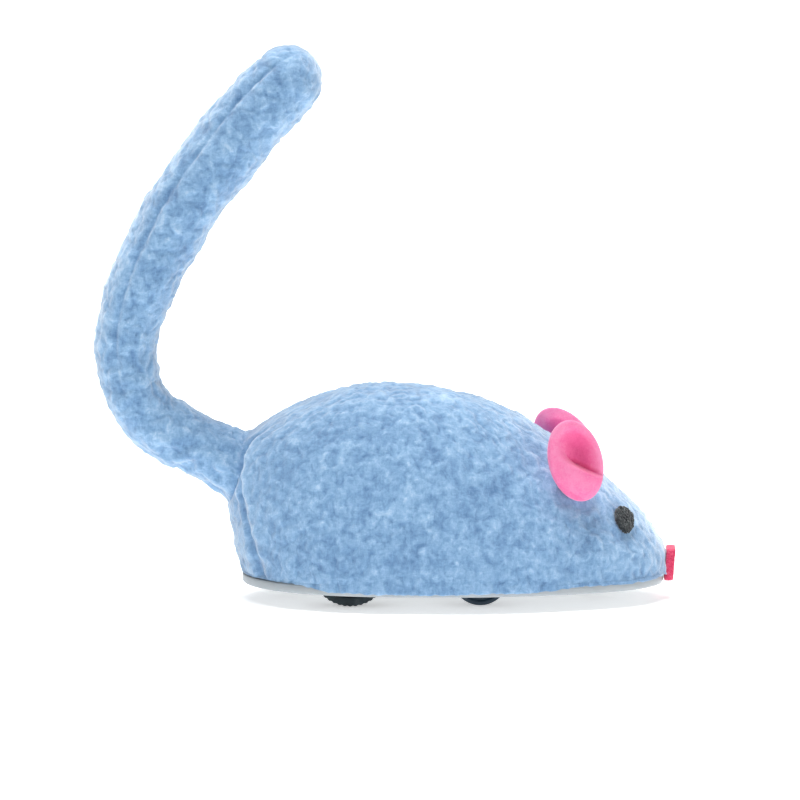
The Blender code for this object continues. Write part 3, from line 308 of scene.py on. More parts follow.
def sewn_face(turns, rises):
    """The cover's outer face as a grid of points, with its rump seam and its pile, and the points' tones,
    which hold painted shade in the seam, round the tail root and on the rump panel.
    """
    grid = body(rises[:, None], turns[None, :])
    normals = grid_normals(grid, np.array((-5.0, 0.0, 12.0)))
    flare = HEM_SPREAD + 0.55 * smooth_step(0.6, 1.6, hang(grid[0]))
    spread = (1 - smooth_step(0.0, 0.35, rises))[:, None] * flare[None, :]
    grid = grid + normals * (spread - PILE_SEAT)[:, :, None]
    x, y, z = grid[..., 0], grid[..., 1], grid[..., 2]
    seam_turn = np.radians(149 + 9 * smooth_step(5, 32, z))
    around = np.where(turns > math.pi, math.tau - turns, turns)[None, :]
    off_seam = (around - seam_turn) * np.hypot(x + 20, y)
    seam = hump(off_seam, RUMP_SEAM_WIDTH) * (1 - smooth_step(29, 33, z))
    swell = hump(np.abs(off_seam) - 1.9, 1.1) * (1 - smooth_step(28, 32, z))
    gather = np.cos(z * math.tau / GATHER_SPACING + 1.3) * hump(off_seam, 2.6) * (1 - smooth_step(27, 32, z))
    panel = hump(off_seam - 2.2, 1.5) * smooth_step(9, 15, z) * (1 - smooth_step(27, 31, z))
    from_root = np.hypot(y, z - TAIL_ROOT[1]) / ROOT_RADIUS
    tucked = hump(from_root - 1.0, 0.16) * (x < -30)
    dimple = hump(np.hypot(x - ARBOR[0], z - ARBOR[2]), KNOB_DIMPLE_SIZE) * (y > 0)
    shift = SEAM_SWELL * swell + GATHER * gather * (1 - seam) - RUMP_SEAM_DEPTH * seam
    shift = shift - TUCK_DEPTH * tucked - KNOB_DIMPLE * dimple - PANEL_SINK * panel
    grid = grid + normals * shift[:, :, None]
    sewn = np.maximum(seam, tucked)
    flat, tones = with_pile(grid.reshape(-1, 3), normals.reshape(-1, 3), (1 - 0.65 * sewn).ravel())
    # The seam and the crease round the tail root are painted with shade, and the rump panel is painted darker
    # as shade where it turns away from the light.
    return flat.reshape(grid.shape), tones.reshape(sewn.shape) * (1 - 0.75 * sewn) - 0.22 * panel


def outer_rows(rings, grid, tones):
    """Adds the outer face, with half the columns from each row in HALVE_AT. Returns its lowest ring."""
    lowest = below = rings.add(grid[0], tones[0])
    step = 1
    for k in range(1, COVER_ROWS):
        step *= 2 if k in HALVE_AT else 1
        ring = rings.add(grid[k, ::step], tones[k, ::step])
        rings.faces += band(below, ring)
        below = ring
    crown = rings.add([(CROWN_X, 0.0, grid[-1, :, 2].mean())], [0.6])
    rings.faces += fan(below, crown[0])
    return lowest


def hem_rows(rings, low_ring, edge, above):
    """Adds the hem, which rolls down and under from the outer face's edge. Returns its last ring."""
    level = outline_normals(low_ring)
    depth = np.maximum(hang(low_ring), 0.1)
    inner = low_ring + level * HEM_THICKNESS
    for k in range(1, HEM_ROWS + 1):
        angle = math.pi * k / HEM_ROWS
        out = (1 + math.cos(angle)) / 2
        drop = math.sin(angle) ** 0.5 if k < HEM_ROWS else 0
        ring = inner + (edge - inner) * out
        ring[:, 2] = edge[:, 2] * out + HEM * (1 - out) - depth * drop
        moved, tones = with_pile(ring, level, np.full(len(ring), 0.55 * out))
        # painted shade: the tone darkens as the hem rolls under the edge
        below = rings.add(moved, tones * (0.4 + 0.6 * out))
        rings.faces += band(below, above)
        above = below
    return above


def lining_rows(rings, turns, below):
    """Adds the plain inner face, a skin's thickness inside the outer one."""
    for rise in 0.05 + (math.pi / 2 - 0.12) * np.arange(LINING_ROWS) / (LINING_ROWS - 1):
        ring = body(rise, turns)
        middle = CROWN_X * math.sin(rise)
        half, length = np.abs(ring[:, 1]).max(), np.abs(ring[:, 0] - middle).max()
        ring[:, 0] = middle + (ring[:, 0] - middle) * max(1 - SKIN_INSET / length, 0.02)
        ring[:, 1] *= max(1 - SKIN_INSET / max(half, 0.1), 0.02)
        ring[:, 2] = HEM + (CROWN - HEM - SKIN_INSET) * math.sin(rise)
        above = rings.add(ring, np.full(len(ring), LINING_TONE))
        rings.faces += band(above, below)
        below = above
    top = rings.add([(CROWN_X, 0.0, CROWN - SKIN_INSET)], [LINING_TONE])
    rings.faces += fan(below, top[0])


def body_cover():
    """The fleece cover: its outer face with the pile, its uneven hem, and a plain inner face."""
    turns = even_turns(0.25, COVER_COLUMNS)
    rises = np.linspace(0, math.pi / 2, COVER_ROWS + 1)[:-1]
    grid, tones = sewn_face(turns, rises)
    rings = Rings()
    lowest = outer_rows(rings, grid, tones)
    last = hem_rows(rings, body(0.0, turns), grid[0], lowest)
    lining_rows(rings, turns, last)
    obj = solid("body_cover", rings.points, rings.faces)
    store(obj, "pile", rings.tones)
    return obj


# ---- tail

TAIL_ROUTE = [
    (-43.0, 25.6), (-46.6, 27.4), (-50.3, 29.8), (-54.1, 33.2), (-57.0, 38.4), (-57.8, 45.3), (-56.5, 52.0),
    (-53.2, 60.2), (-48.3, 69.2), (-42.5, 77.6), (-36.0, 86.2), (-30.0, 92.4),
]
TAIL_ROOT = (-40.6, 24.6)
ROOT_RADIUS = 6.1
ARBOR = centre_of("winding_arbor")
TAIL_START = [(-36.6, 23.7), TAIL_ROOT]
TAIL_RADII = [
    (0.0, 5.2), (1.0, 5.7), (1.7, 5.5), (4.0, 5.3), (6.0, 5.35), (7.2, 5.6), (9.0, 6.2), (11.0, 6.3),
    (13.0, 6.1),
]
TIP_RADIUS = TAIL_RADII[-1][1]
TAIL_ROWS, TAIL_COLUMNS = 300, 132
TAIL_SEAM_WIDTH, TAIL_SEAM_DEPTH, TAIL_SEAM_HOLD = 0.5, 0.30, 0.2
PLEATS, PLEAT_DEPTH, FOLD_DEPTH, FILLET = 9, 0.32, 0.22, 1.9


def tail_line(count):
    """Centres, directions and radii along the tail, evenly spaced from inside the body to its round tip, with
    each one's place among the route's points and how far past the route's end it is."""
    route_x, route_z = zip(*TAIL_START, *TAIL_ROUTE)
    keys = np.arange(len(route_x))
    fine = np.linspace(0, keys[-1], 4000)
    x, z = (curve_through(keys, values, fine) for values in (route_x, route_z))
    path = np.stack([x, np.zeros(len(fine)), z], axis=1)
    length = np.concatenate([[0], np.cumsum(np.linalg.norm(np.diff(path, axis=0), axis=1))])
    at = np.linspace(0, length[-1] + TIP_RADIUS * 0.985, count)
    key = np.interp(at, length, fine)
    centres = np.stack([np.interp(at, length, path[:, i]) for i in range(3)], axis=1)
    directions = np.gradient(centres, axis=0)
    radii = curve_through(*zip(*TAIL_RADII), key)
    past = np.maximum(at - length[-1], 0)
    end_direction = path[-1] - path[-20]
    end_direction /= np.linalg.norm(end_direction)
    centres = centres + end_direction * past[:, None]
    directions = np.where((past > 0)[:, None], end_direction, directions)
    directions /= np.linalg.norm(directions, axis=1, keepdims=True)
    radii = np.where(past > 0, np.sqrt(np.maximum(TIP_RADIUS**2 - past**2, 0.05)), radii)
    return centres, directions, radii, key, past


CLOTH_SCALE = 20.0
CLOTH_ROWS, CLOTH_EVERY = 90, 3
CLOTH_FRAMES, CLOTH_PRESSURE = 20, 4.0
CLOTH_START, CLOTH_EASE = 0.975, 0.03
CLOTH_CAP = 1.0


def blow_up(pad, held):
    """Simulates the coarse tube as cloth under pressure, and returns its points in mm."""
    group = pad.vertex_groups.new(name="held")
    for number, weight in enumerate(held):
        group.add([number], float(weight), "REPLACE")
    cloth = pad.modifiers.new("Cloth", "CLOTH")
    fabric = cloth.settings
    fabric.quality = 6
    fabric.mass = 0.3
    fabric.tension_stiffness = fabric.compression_stiffness = 12.0
    fabric.shear_stiffness = 4.0
    fabric.bending_stiffness = 1.5
    fabric.use_pressure = True
    fabric.uniform_pressure_force = CLOTH_PRESSURE
    fabric.shrink_min = -CLOTH_EASE
    fabric.effector_weights.gravity = 0.0
    fabric.vertex_group_mass = "held"
    cloth.collision_settings.use_collision = False
    cloth.point_cache.frame_start, cloth.point_cache.frame_end = 1, CLOTH_FRAMES
    for number in range(1, CLOTH_FRAMES + 1):
        SCENE.frame_set(number)
    apply_modifiers(pad)
    after = np.array([vertex.co for vertex in pad.data.vertices])
    SCENE.frame_set(1)
    bpy.data.objects.remove(pad)
    return (after - ORIGIN) / MM


def refined(values, keys, at):
    """Values that are known at keys along their first axis, read in straight lines at other places."""
    flat = values.reshape(len(keys), -1)
    columns = [np.interp(at, keys, flat[:, i]) for i in range(flat.shape[1])]
    return np.stack(columns, axis=1).reshape(len(at), *values.shape[1:])


def stuffed_shift(centres, ring, radii, held):
    """How far cloth filled with stuffing moves each point of the tail's grid, in mm.

    A coarse copy of the tube, enlarged so that the solver's units suit it, starts a little slimmer, is cut a
    little larger and is blown up with its root and its seam held."""
    rows = np.linspace(0, len(centres) - 1, CLOTH_ROWS).round().astype(int)
    start = centres[:, None, :] + ring * (radii * CLOTH_START)[:, None, None]
    coarse = start[rows][:, ::CLOTH_EVERY]
    columns = coarse.shape[1]
    points = [*coarse.reshape(-1, 3), coarse[0].mean(axis=0), coarse[-1].mean(axis=0)]
    rings, faces = ring_grid(CLOTH_ROWS, columns)
    root = len(points) - 2
    faces += fan(rings[0], root) + fan(rings[-1], root + 1)
    pad = solid("tail_cloth", np.array(points) * CLOTH_SCALE, faces)
    after = blow_up(pad, [*held[rows][:, ::CLOTH_EVERY].ravel(), 1.0])[:root] / CLOTH_SCALE
    moved = after.reshape(coarse.shape) - coarse
    length = np.linalg.norm(moved, axis=2, keepdims=True)
    moved = moved * np.minimum(1, CLOTH_CAP / np.maximum(length, 1e-9))
    wrapped = np.concatenate([moved, moved[:, :1]], axis=1).swapaxes(0, 1)
    wide = refined(wrapped, np.arange(columns + 1) * CLOTH_EVERY, np.arange(ring.shape[1])).swapaxes(0, 1)
    full = refined(wide, rows, np.arange(len(centres)))
    for _ in range(2):
        full[1:-1] = (full[:-2] + 2 * full[1:-1] + full[2:]) / 4
        full = (np.roll(full, 1, axis=1) + 2 * full + np.roll(full, -1, axis=1)) / 4
    return start + full - (centres[:, None, :] + ring * radii[:, None, None])


def tail_cover():
    """The sewn fleece tail: a stuffed tube with a seam down its near side, gathered at the rump."""
    centres, directions, radii, key, past = tail_line(TAIL_ROWS)
    side = np.array((0.0, 1.0, 0.0))
    outer = np.cross(directions, side)
    outer /= np.linalg.norm(outer, axis=1, keepdims=True)
    angles = np.arange(TAIL_COLUMNS) / TAIL_COLUMNS * math.tau
    ring = -np.cos(angles)[None, :, None] * side - np.sin(angles)[None, :, None] * outer[:, None, :]
    lumps = np.empty((TAIL_ROWS, TAIL_COLUMNS))
    for k in range(TAIL_ROWS):
        for i in range(TAIL_COLUMNS):
            point = Vector(centres[k] + ring[k, i] * radii[k])
            lumps[k, i] = noise.noise(point / 7.5) * 0.34 + noise.noise(point / 3.6) * 0.16

    along, past_end = key[:, None], past[:, None]
    share = along / key.max()
    seam_angle = -np.radians(14 + 24 * smooth_step(0.35, 0.95, share))
    off_seam = np.angle(np.exp(1j * (angles[None, :] - seam_angle))) * np.maximum(radii, 1.0)[:, None]
    strength = smooth_step(0.36, 0.60, share)
    seam = hump(off_seam, TAIL_SEAM_WIDTH) * strength
    shoulders = 0.08 * hump(np.abs(off_seam) - 1.5, 0.9) * strength
    stitched = 0.12 * np.cos(along * math.tau * 1.9) * hump(off_seam, 1.5) * strength * (1 - seam)
    pleats = PLEAT_DEPTH * np.cos(angles * PLEATS + 0.7)[None, :] * hump(along - 1.35, 0.5)
    inner_side, outer_side = np.maximum(np.sin(angles), 0)[None, :], np.maximum(-np.sin(angles), 0)[None, :]
    folds = FOLD_DEPTH * np.cos(along * math.tau * 0.95) * hump(along - 6.0, 1.1) * inner_side
    fillet = FILLET * hump(along - 0.5, 0.3) * outer_side**1.5
    extra = lumps - TAIL_SEAM_DEPTH * seam + shoulders + stitched + pleats + folds + fillet
    extra = extra * (1 - smooth_step(0, 5, past_end))
    grid = centres[:, None, :] + ring * (radii[:, None] + extra)[:, :, None]
    held = np.maximum(seam * TAIL_SEAM_HOLD, 1 - smooth_step(1.6, 3.0, along))
    held = np.maximum(held, smooth_step(0.0, 2.0, past_end))
    grid = grid + stuffed_shift(centres, ring, radii, held)

    tipwards = (past / TIP_RADIUS)[:, None, None]
    normals = grid_normals(grid, centres[:, None, :]) * (1 - tipwards) + directions[:, None, :] * tipwards
    normals /= np.linalg.norm(normals, axis=2, keepdims=True)
    pile_share = (1 - 0.6 * seam) * (1 - 0.5 * smooth_step(0.9, 1.0, past_end / TIP_RADIUS))
    flat, tones = with_pile(grid.reshape(-1, 3), normals.reshape(-1, 3), pile_share.ravel())
    points = [*flat, flat[-TAIL_COLUMNS:].mean(axis=0), centres[0]]
    rows, faces = ring_grid(TAIL_ROWS, TAIL_COLUMNS)
    faces += fan(rows[-1], len(flat)) + fan(rows[0], len(flat) + 1)
    obj = solid("tail_cover", points, faces)
    # The seam's groove is painted with shade: its tone is halved along it.
    store(obj, "pile", [*(tones * (1 - 0.5 * seam.ravel())), 0.6, 0.2])
    return obj


# ---- ears, eyes and nose

EAR_CENTRE, EAR_WIDTH, EAR_HEIGHT = (20.7, 13.6, 26.5), 9.6, 14.8
EAR_LEANS, EAR_FORWARD = {"right": math.radians(15), "left": math.radians(36)}, math.radians(6)
EAR_SHIFTS = {"right": (0.0, 0.35, 0.0), "left": (-1.3, -0.35, -1.2)}
EAR_FELT, EAR_SEAT = 1.5, 1.7
EAR_HOLLOW, EAR_PINCH, EAR_ROLL = 1.9, 0.6, 0.95


def ear_axes(side, sign):
    """Across, up and outward directions of an ear, as rows."""
    lean = Matrix.Rotation(-EAR_LEANS[side], 3, "Y")
    forward = Matrix.Rotation(sign * -EAR_FORWARD, 3, "Z")
    turn = forward @ lean
    return np.array([turn @ Vector((1, 0, 0)), turn @ Vector((0, 0, 1)), turn @ Vector((0, sign, 0))])

def felt_sheet(name, surface, thickness, count, round_from=0.86):
    """A disc of felt with a rounded edge. surface(u, v, off) is the point, in mm, that lies off from the
    felt's middle at u across and v up, which both go from -1 to 1."""
    rings = count // 4
    angles = [math.tau * i / count for i in range(count)]
    points, faces, made = [], [], {}
    for layer in (1, -1):
        for k in range(rings + 1):
            share = k / rings
            rim = max(share - round_from, 0) / (1 - round_from)
            off = layer * thickness / 2 * math.sqrt(max(1 - rim**2, 0))
            row = [surface(share * math.cos(angle), share * math.sin(angle), off) for angle in angles]
            if k == 0:
                made[layer, k] = len(points)
                points.append(np.mean(row, axis=0))
            elif k == rings and layer == -1:
                made[layer, k] = made[1, k]
            else:
                made[layer, k] = list(range(len(points), len(points) + count))
                points.extend(row)
    for layer in (1, -1):
        faces += fan(made[layer, 1], made[layer, 0])
        for k in range(1, rings):
            faces += band(made[layer, k], made[layer, k + 1])
    return solid(name, points, faces)


def ear(side, sign):
    """A felt ear: a soft oval hollowed above, with its lower part folded up in front as a plump roll."""
    across, up, out = ear_axes(side, sign)
    centre = np.array((EAR_CENTRE[0], sign * EAR_CENTRE[1], EAR_CENTRE[2])) + EAR_SHIFTS[side]

    def form(u, v):
        """How far out the felt's middle is, in mm, and its tone, from 0 in the hollow to 1 on the rim: painted
        shade in the hollow and the pinched crease, painted highlight on the rim and the upward-facing roll.
        """
        crease = -0.13 - 0.60 * u + 0.12 * u * u
        sharp = float(smooth_step(-0.8, 0.0, u))
        soft = 0.05 + 0.45 * (1 - sharp)
        below = float(1 - smooth_step(crease - soft, crease + soft, v))
        reach = math.hypot(u, v)
        inward = max(1 - reach**4, 0)
        hollow = hump(u - 0.20, 0.52) * hump(v - 0.22, 0.54) * float(1 - 0.9 * smooth_step(0.70, 0.97, reach))
        depth_below = max(crease - v, 0) / 0.85
        roll = math.sqrt(max(1 - (2 * min(depth_below, 1) - 0.75) ** 2 / 1.6, 0)) * inward**0.5
        lumps = 0.12 * noise.noise(Vector((u * 2.4, v * 3.2, sign * 5.0)))
        pinch = hump(v - crease - 0.03, 0.09) * (1 - below) * sharp * inward
        lift = 0.35 - EAR_HOLLOW * hollow * (1 - below) - EAR_PINCH * pinch + lumps
        lift += (0.5 + EAR_ROLL * sharp) * roll * below
        # tone: painted shade in the hollow and crease, painted highlight on the rim and on the roll below,
        # which faces up to the light
        return lift, (1 - hollow) * (1 - below) * (1 - 0.5 * pinch) + below * (0.55 + 0.35 * roll)

    def felt(u, v, off):
        lift = form(u, v)[0]
        if off < 0:
            sewn_down = float(1 - smooth_step(-0.75, 0.25, v))
            lift = lift * (1 - sewn_down) - EAR_SEAT * sewn_down
        return centre + across * (u * EAR_WIDTH / 2) + up * (v * EAR_HEIGHT / 2) + out * (lift + off)

    obj = felt_sheet(f"ear_cup_{side}", felt, EAR_FELT, 240, 0.80)
    tones = []
    for vertex in obj.data.vertices:
        offset = (np.array(vertex.co) - ORIGIN) / MM - centre
        tones.append(form(offset @ across / (EAR_WIDTH / 2), offset @ up / (EAR_HEIGHT / 2))[1])
    store(obj, "pile", tones)
    return obj


EYE_X, EYE_Z, EYE_WIDTH, EYE_HEIGHT = 29.5, 15.2, 4.2, 5.2
EYE_ROLL, EYE_FELT, EYE_DOME = math.radians(22), 0.7, 0.40


def eye(side, sign):
    """A small oval of black pile, domed and a little ragged at its edge."""
    rise = float(rise_of(EYE_Z))
    options = np.linspace(0, math.pi / 2, 4001)
    turn = options[np.abs(body(rise, options)[:, 0] - EYE_X).argmin()]
    here = body(rise, turn)
    step = 0.01
    up = body(rise + step, turn) - body(rise - step, turn)
    along = body(rise, turn + step) - body(rise, turn - step)
    normal = np.cross(along, up)
    normal /= np.linalg.norm(normal)
    upward = np.array((0, 0, 1.0)) - normal * normal[2]
    upward /= np.linalg.norm(upward)
    across = np.cross(upward, normal)
    upward = upward * math.cos(EYE_ROLL) + across * math.sin(EYE_ROLL) * math.copysign(1, across[0])
    across = np.cross(upward, normal)
    here, normal, upward, across = np.array((here, normal, upward, across)) * (1, sign, 1)

    def dome(u, v, off):
        ragged = 1 + 0.10 * noise.noise(Vector((u * 2.6, v * 2.6, 4.0 + sign)))
        ragged += 0.10 * noise.noise(Vector((u * 9, v * 9, 7.0))) * math.hypot(u, v)
        narrow = 1 + 0.20 * v
        bulge = EYE_DOME * math.sqrt(max(1 - 0.9 * (u * u + v * v), 0)) - 0.15
        fuzz = 0.16 * noise.noise(Vector((u * 7, v * 7, 2.0)))
        fuzz += 0.08 * noise.noise(Vector((u * 15, v * 15, 6.0)))
        flat = across * (u * EYE_WIDTH / 2 * ragged * narrow) + upward * (v * EYE_HEIGHT / 2 * ragged)
        return here + flat + normal * (bulge + fuzz + off)

    return felt_sheet(f"eye_pile_{side}", dome, EYE_FELT, 120)


NOSE_COLUMNS, NOSE_POWER, NOSE_LEAN, NOSE_FLUFF, NOSE_TAPER = 96, 9, 0.24, 0.07, 0.07
NOSE_LAYERS = [
    (-1, 0.5), (-1, 0.94), (-0.86, 0.985), (-0.4, 1.0), (0.4, 1.0), (0.86, 0.985), (1, 0.94), (1, 0.5),
]


def nose_tab():
    """The red felt tab at the front of the base."""
    low, high = box_of("nose_felt")
    centre, half = (low + high) / 2, (high - low) / 2 * np.array((1.0, 1.0, 1.04))
    points = []
    for depth, size in NOSE_LAYERS:
        for i in range(NOSE_COLUMNS):
            angle = math.tau * i / NOSE_COLUMNS
            c, s = math.cos(angle), math.sin(angle)
            reach = (abs(c) ** NOSE_POWER + abs(s) ** NOSE_POWER) ** (-1 / NOSE_POWER)
            y = c * reach * half[1] * size * (1 - NOSE_TAPER * s)
            z = s * reach * half[2] * size
            fluff = NOSE_FLUFF * noise.noise(Vector((depth * 2, y * 1.7, z * 1.7)))
            lean = NOSE_LEAN * z / half[2]
            points.append(centre + (depth * half[0] + lean + fluff, y + fluff / 2, z + fluff / 2))
    rings, faces = ring_grid(len(NOSE_LAYERS), NOSE_COLUMNS)
    faces += fan(rings[0], len(points)) + fan(rings[-1], len(points) + 1)
    points += [centre - (half[0], 0, 0), centre + (half[0], 0, 0)]
    return solid("nose_tab", points, faces)


# ---- turned pieces


def rounded(outline, radius, steps=5):
    """A closed outline of (radius, y) with each corner rounded off."""
    result = []
    count = len(outline)
    for i in range(count):
        before, here, after = (np.array(outline[(i + k) % count], float) for k in (-1, 0, 1))
        to_before, to_after = before - here, after - here
        a, b = np.linalg.norm(to_before), np.linalg.norm(to_after)
        cut = min(radius, a * 0.45, b * 0.45)
        start, end = here + to_before / a * cut, here + to_after / b * cut
        for k in range(steps + 1):
            t = k / steps
            result.append((1 - t) ** 2 * start + 2 * t * (1 - t) * here + t**2 * end)
    return result


def both_sides(middle, half_outline):
    """A closed outline of (radius, y), from (radius, distance from the middle) down one side."""
    far_side = [(radius, middle - off) for radius, off in half_outline]
    return far_side + [(radius, middle + off) for radius, off in reversed(half_outline)]


def spun(name, outline, axis_x_z, count, shape=None):
    """A ring turned about an axis across the toy from a closed outline of (radius, y).

    shape(radius, y, angle) may change the two as it goes round."""
    points = []
    for radius, y in outline:
        for i in range(count):
            angle = math.tau * i / count
            r, across = shape(radius, y, angle) if shape else (radius, y)
            points.append((axis_x_z[0] + r * math.cos(angle), across, axis_x_z[1] + r * math.sin(angle)))
    rings, faces = ring_grid(len(outline), count)
    return solid(name, points, faces + band(rings[-1], rings[0]))


def wheel_of(node):
    """The middle, radius and half width of a wheel or tyre in the CAD, in mm."""
    low, high = box_of(node)
    return (low + high) / 2, (high[2] - low[2]) / 2, (high[1] - low[1]) / 2


TREAD_RIBS, TREAD_DEPTH, TREAD_GROOVE = 44, 0.22, 0.3
SPOKES, SPOKE_HEIGHT = 5, 0.7


def rear_wheel(side):
    """A rubber tyre with a shallow ribbed tread, and the plastic hub inside it."""
    mid, radius, half = wheel_of(f"rear_tyre_{side}")
    axle, inner = (mid[0], mid[2]), 5.3

    def tread(r, y, angle):
        rib = smooth_step(0.2, 0.6, math.cos(angle * TREAD_RIBS) * 0.5 + 0.5)
        deep = smooth_step(radius - 0.5, radius - 0.15, r) * smooth_step(0, 0.5, half - abs(y - mid[1]))
        return r - TREAD_DEPTH * (1 - rib) * deep, y

    outer = both_sides(mid[1], [(inner, half), (radius, half), (radius, 0.35), (radius - TREAD_GROOVE, 0.15)])
    tyre = spun(f"tyre_{side}", rounded(outer, 0.55), axle, 352, tread)

    hub_radius, rim, web, boss, dish, bore = 5.15, 4.0, 3.1, 2.2, 0.95, 1.02

    def spokes(r, y, angle):
        in_dish = smooth_step(boss, boss + 0.3, r) * (1 - smooth_step(rim - 0.3, rim, r))
        rib = smooth_step(0.90, 0.985, math.cos(angle * SPOKES))
        return r, y + math.copysign(SPOKE_HEIGHT, y - mid[1]) * in_dish * rib

    profile = both_sides(mid[1], [(bore, half), (boss, half), (boss + 0.1, half - dish), (web, half - dish),
                                  (rim - 0.1, half - dish), (rim, half), (hub_radius, half)])
    return tyre, spun(f"hub_{side}", rounded(profile, 0.22, 3), axle, 180, spokes)


def front_wheel(side):
    """A small plain wheel with a raised boss and a rounded edge."""
    mid, radius, half = wheel_of(f"front_wheel_{side}")
    bore, boss, rim, dish = 0.82, 1.7, 4.1, 0.35
    profile = both_sides(mid[1], [(bore, half), (boss, half), (boss + 0.1, half - dish), (rim, half - dish),
                                  (rim + 0.2, half), (radius, half)])
    return spun(f"front_roller_{side}", rounded(profile, 0.3, 4), (mid[0], mid[2]), 160)


FLUTES, FLUTE_DEPTH = 14, 0.62


def knob():
    """The fluted winding knob with its neck, and the socket that the arbor sits in."""
    low, high = box_of("winding_knob")
    far, near = low[1], high[1]
    body_start, radius, neck, bore, mouth = 20.8, 5.2, 2.6, 1.28, 23.8

    def flutes(r, y, angle):
        deep = smooth_step(neck + 0.4, radius - 0.6, r) * smooth_step(body_start - 0.1, body_start + 0.5, y)
        groove = (0.5 - 0.5 * math.cos(angle * FLUTES)) ** 0.7
        return r - FLUTE_DEPTH * groove * deep, y

    profile = [(0.01, near), (radius - 1.5, near), (radius, near - 0.05), (radius, body_start),
               (neck + 0.3, body_start), (neck, body_start - 0.1), (neck, far), (bore, far), (bore, mouth),
               (0.01, mouth)]
    return spun("knob_grip", rounded(profile, 0.32, 4), (ARBOR[0], ARBOR[2]), 280, flutes)


# ---- base tray

BASE_BOTTOM, BASE_FLOOR, BASE_TOP, BASE_RIM = 2.9, 1.0, 4.6, 1.5
BASE_COLUMNS = 280
PAD_RADIUS, PAD_TOP, SCREW_HEAD, SCREW_WAY = 3.0, 5.9, 2.2, 1.1
TAB_SLOT, TAB_SLOT_ROWS, TAB_SLOT_SIDE = (3.6, 1.8, 4), (-16.0, -1.0), 6.8


def base_ring(inset, height):
    """The base's level outline at an inset and a height."""
    turn = np.arange(BASE_COLUMNS) / BASE_COLUMNS * math.tau
    x, y = level_outline(turn, 0.0, BASE_FRONT - inset, BASE_REAR + inset, BASE_HALF_WIDTH - inset)
    return np.stack([x, y, np.full(BASE_COLUMNS, height)], axis=1)


def block(name, size, at):
    """A cutting block, in mm."""
    half = np.array(size) / 2
    corners = np.array([[x, y, z] for x in (-1, 1) for y in (-1, 1) for z in (-1, 1)]) * half + np.array(at)
    faces = [(0, 1, 3, 2), (4, 6, 7, 5), (0, 4, 5, 1), (2, 3, 7, 6), (0, 2, 6, 4), (1, 5, 7, 3)]
    return solid(name, corners, faces)


def post(name, radius, low, high, x, count=48):
    """An upright cutting or filling cylinder, in mm."""
    angles = (np.arange(count) + 0.4) / count * math.tau
    ring = np.stack([x + radius * np.cos(angles), radius * np.sin(angles)], axis=1)
    rings, faces = ring_grid(2, count)
    return solid(name, [(a, b, z) for z in (low, high) for a, b in ring], [*map(tuple, rings), *faces])


def combine(obj, others, operation):
    """Joins the others to an object, or cuts them from it, and removes them."""
    for other in others:
        modifier = obj.modifiers.new(other.name, "BOOLEAN")
        modifier.operation = operation
        modifier.solver = "EXACT"
        modifier.object = other
    apply_modifiers(obj)
    for other in others:
        bpy.data.objects.remove(other)
    return obj


def base_tray():
    """The moulded base: a rimmed tray with a rounded lower edge, wheel slots, screw pads and tab slots."""
    low, floor_top, top = BASE_BOTTOM, BASE_BOTTOM + BASE_FLOOR, BASE_TOP
    levels = [(0.45, low), (0.22, low + 0.06), (0.06, low + 0.22), (0, low + 0.5), (0, top - 0.3),
              (0.1, top - 0.08), (0.3, top), (BASE_RIM - 0.2, top), (BASE_RIM, top - 0.2),
              (BASE_RIM, floor_top + 0.2), (BASE_RIM + 0.2, floor_top)]
    rings, faces = ring_grid(len(levels), BASE_COLUMNS)
    faces += [tuple(reversed(rings[0])), tuple(rings[-1])]
    points = np.concatenate([base_ring(inset, height) for inset, height in levels])
    tray = solid("base_tray", points, faces)
    screws = [centre_of(f"base_screw_{end}")[0] for end in ("rear", "front")]
    pads = [post(f"pad_{i}", PAD_RADIUS, low + 0.4, PAD_TOP, x) for i, x in enumerate(screws)]
    combine(tray, pads, "UNION")
    cuts = []
    for i, x in enumerate(screws):
        cuts.append(post(f"counterbore_{i}", SCREW_HEAD, 1.0, 4.8, x))
        cuts.append(post(f"screw_way_{i}", SCREW_WAY, 1.5, 7.0, x))
    for node, radius in (("rear_tyre", 7.0), ("front_wheel", 5.0)):
        for side in ("left", "right"):
            mid, _, half = wheel_of(f"{node}_{side}")
            chord = math.sqrt(radius**2 - (mid[2] - floor_top) ** 2)
            size = (2 * (chord + 0.7), 2 * half + 0.7, 4)
            cuts.append(block(f"{node}_slot_{side}", size, (mid[0], mid[1], low)))
    for i, x in enumerate(TAB_SLOT_ROWS):
        for side, y in (("left", TAB_SLOT_SIDE), ("right", -TAB_SLOT_SIDE)):
            cuts.append(block(f"tab_{i}_{side}", TAB_SLOT, (x, y, low)))
    combine(tray, cuts, "DIFFERENCE")
    soften = tray.modifiers.new("Soft corners", "BEVEL")
    soften.width, soften.segments = 0.12 * MM, 2
    soften.limit_method, soften.angle_limit = "ANGLE", math.radians(50)
    apply_modifiers(tray)
    for polygon in tray.data.polygons:
        polygon.use_smooth = abs(polygon.normal.z) < 0.97 or polygon.area < 1e-7
    return tray


# ---- materials


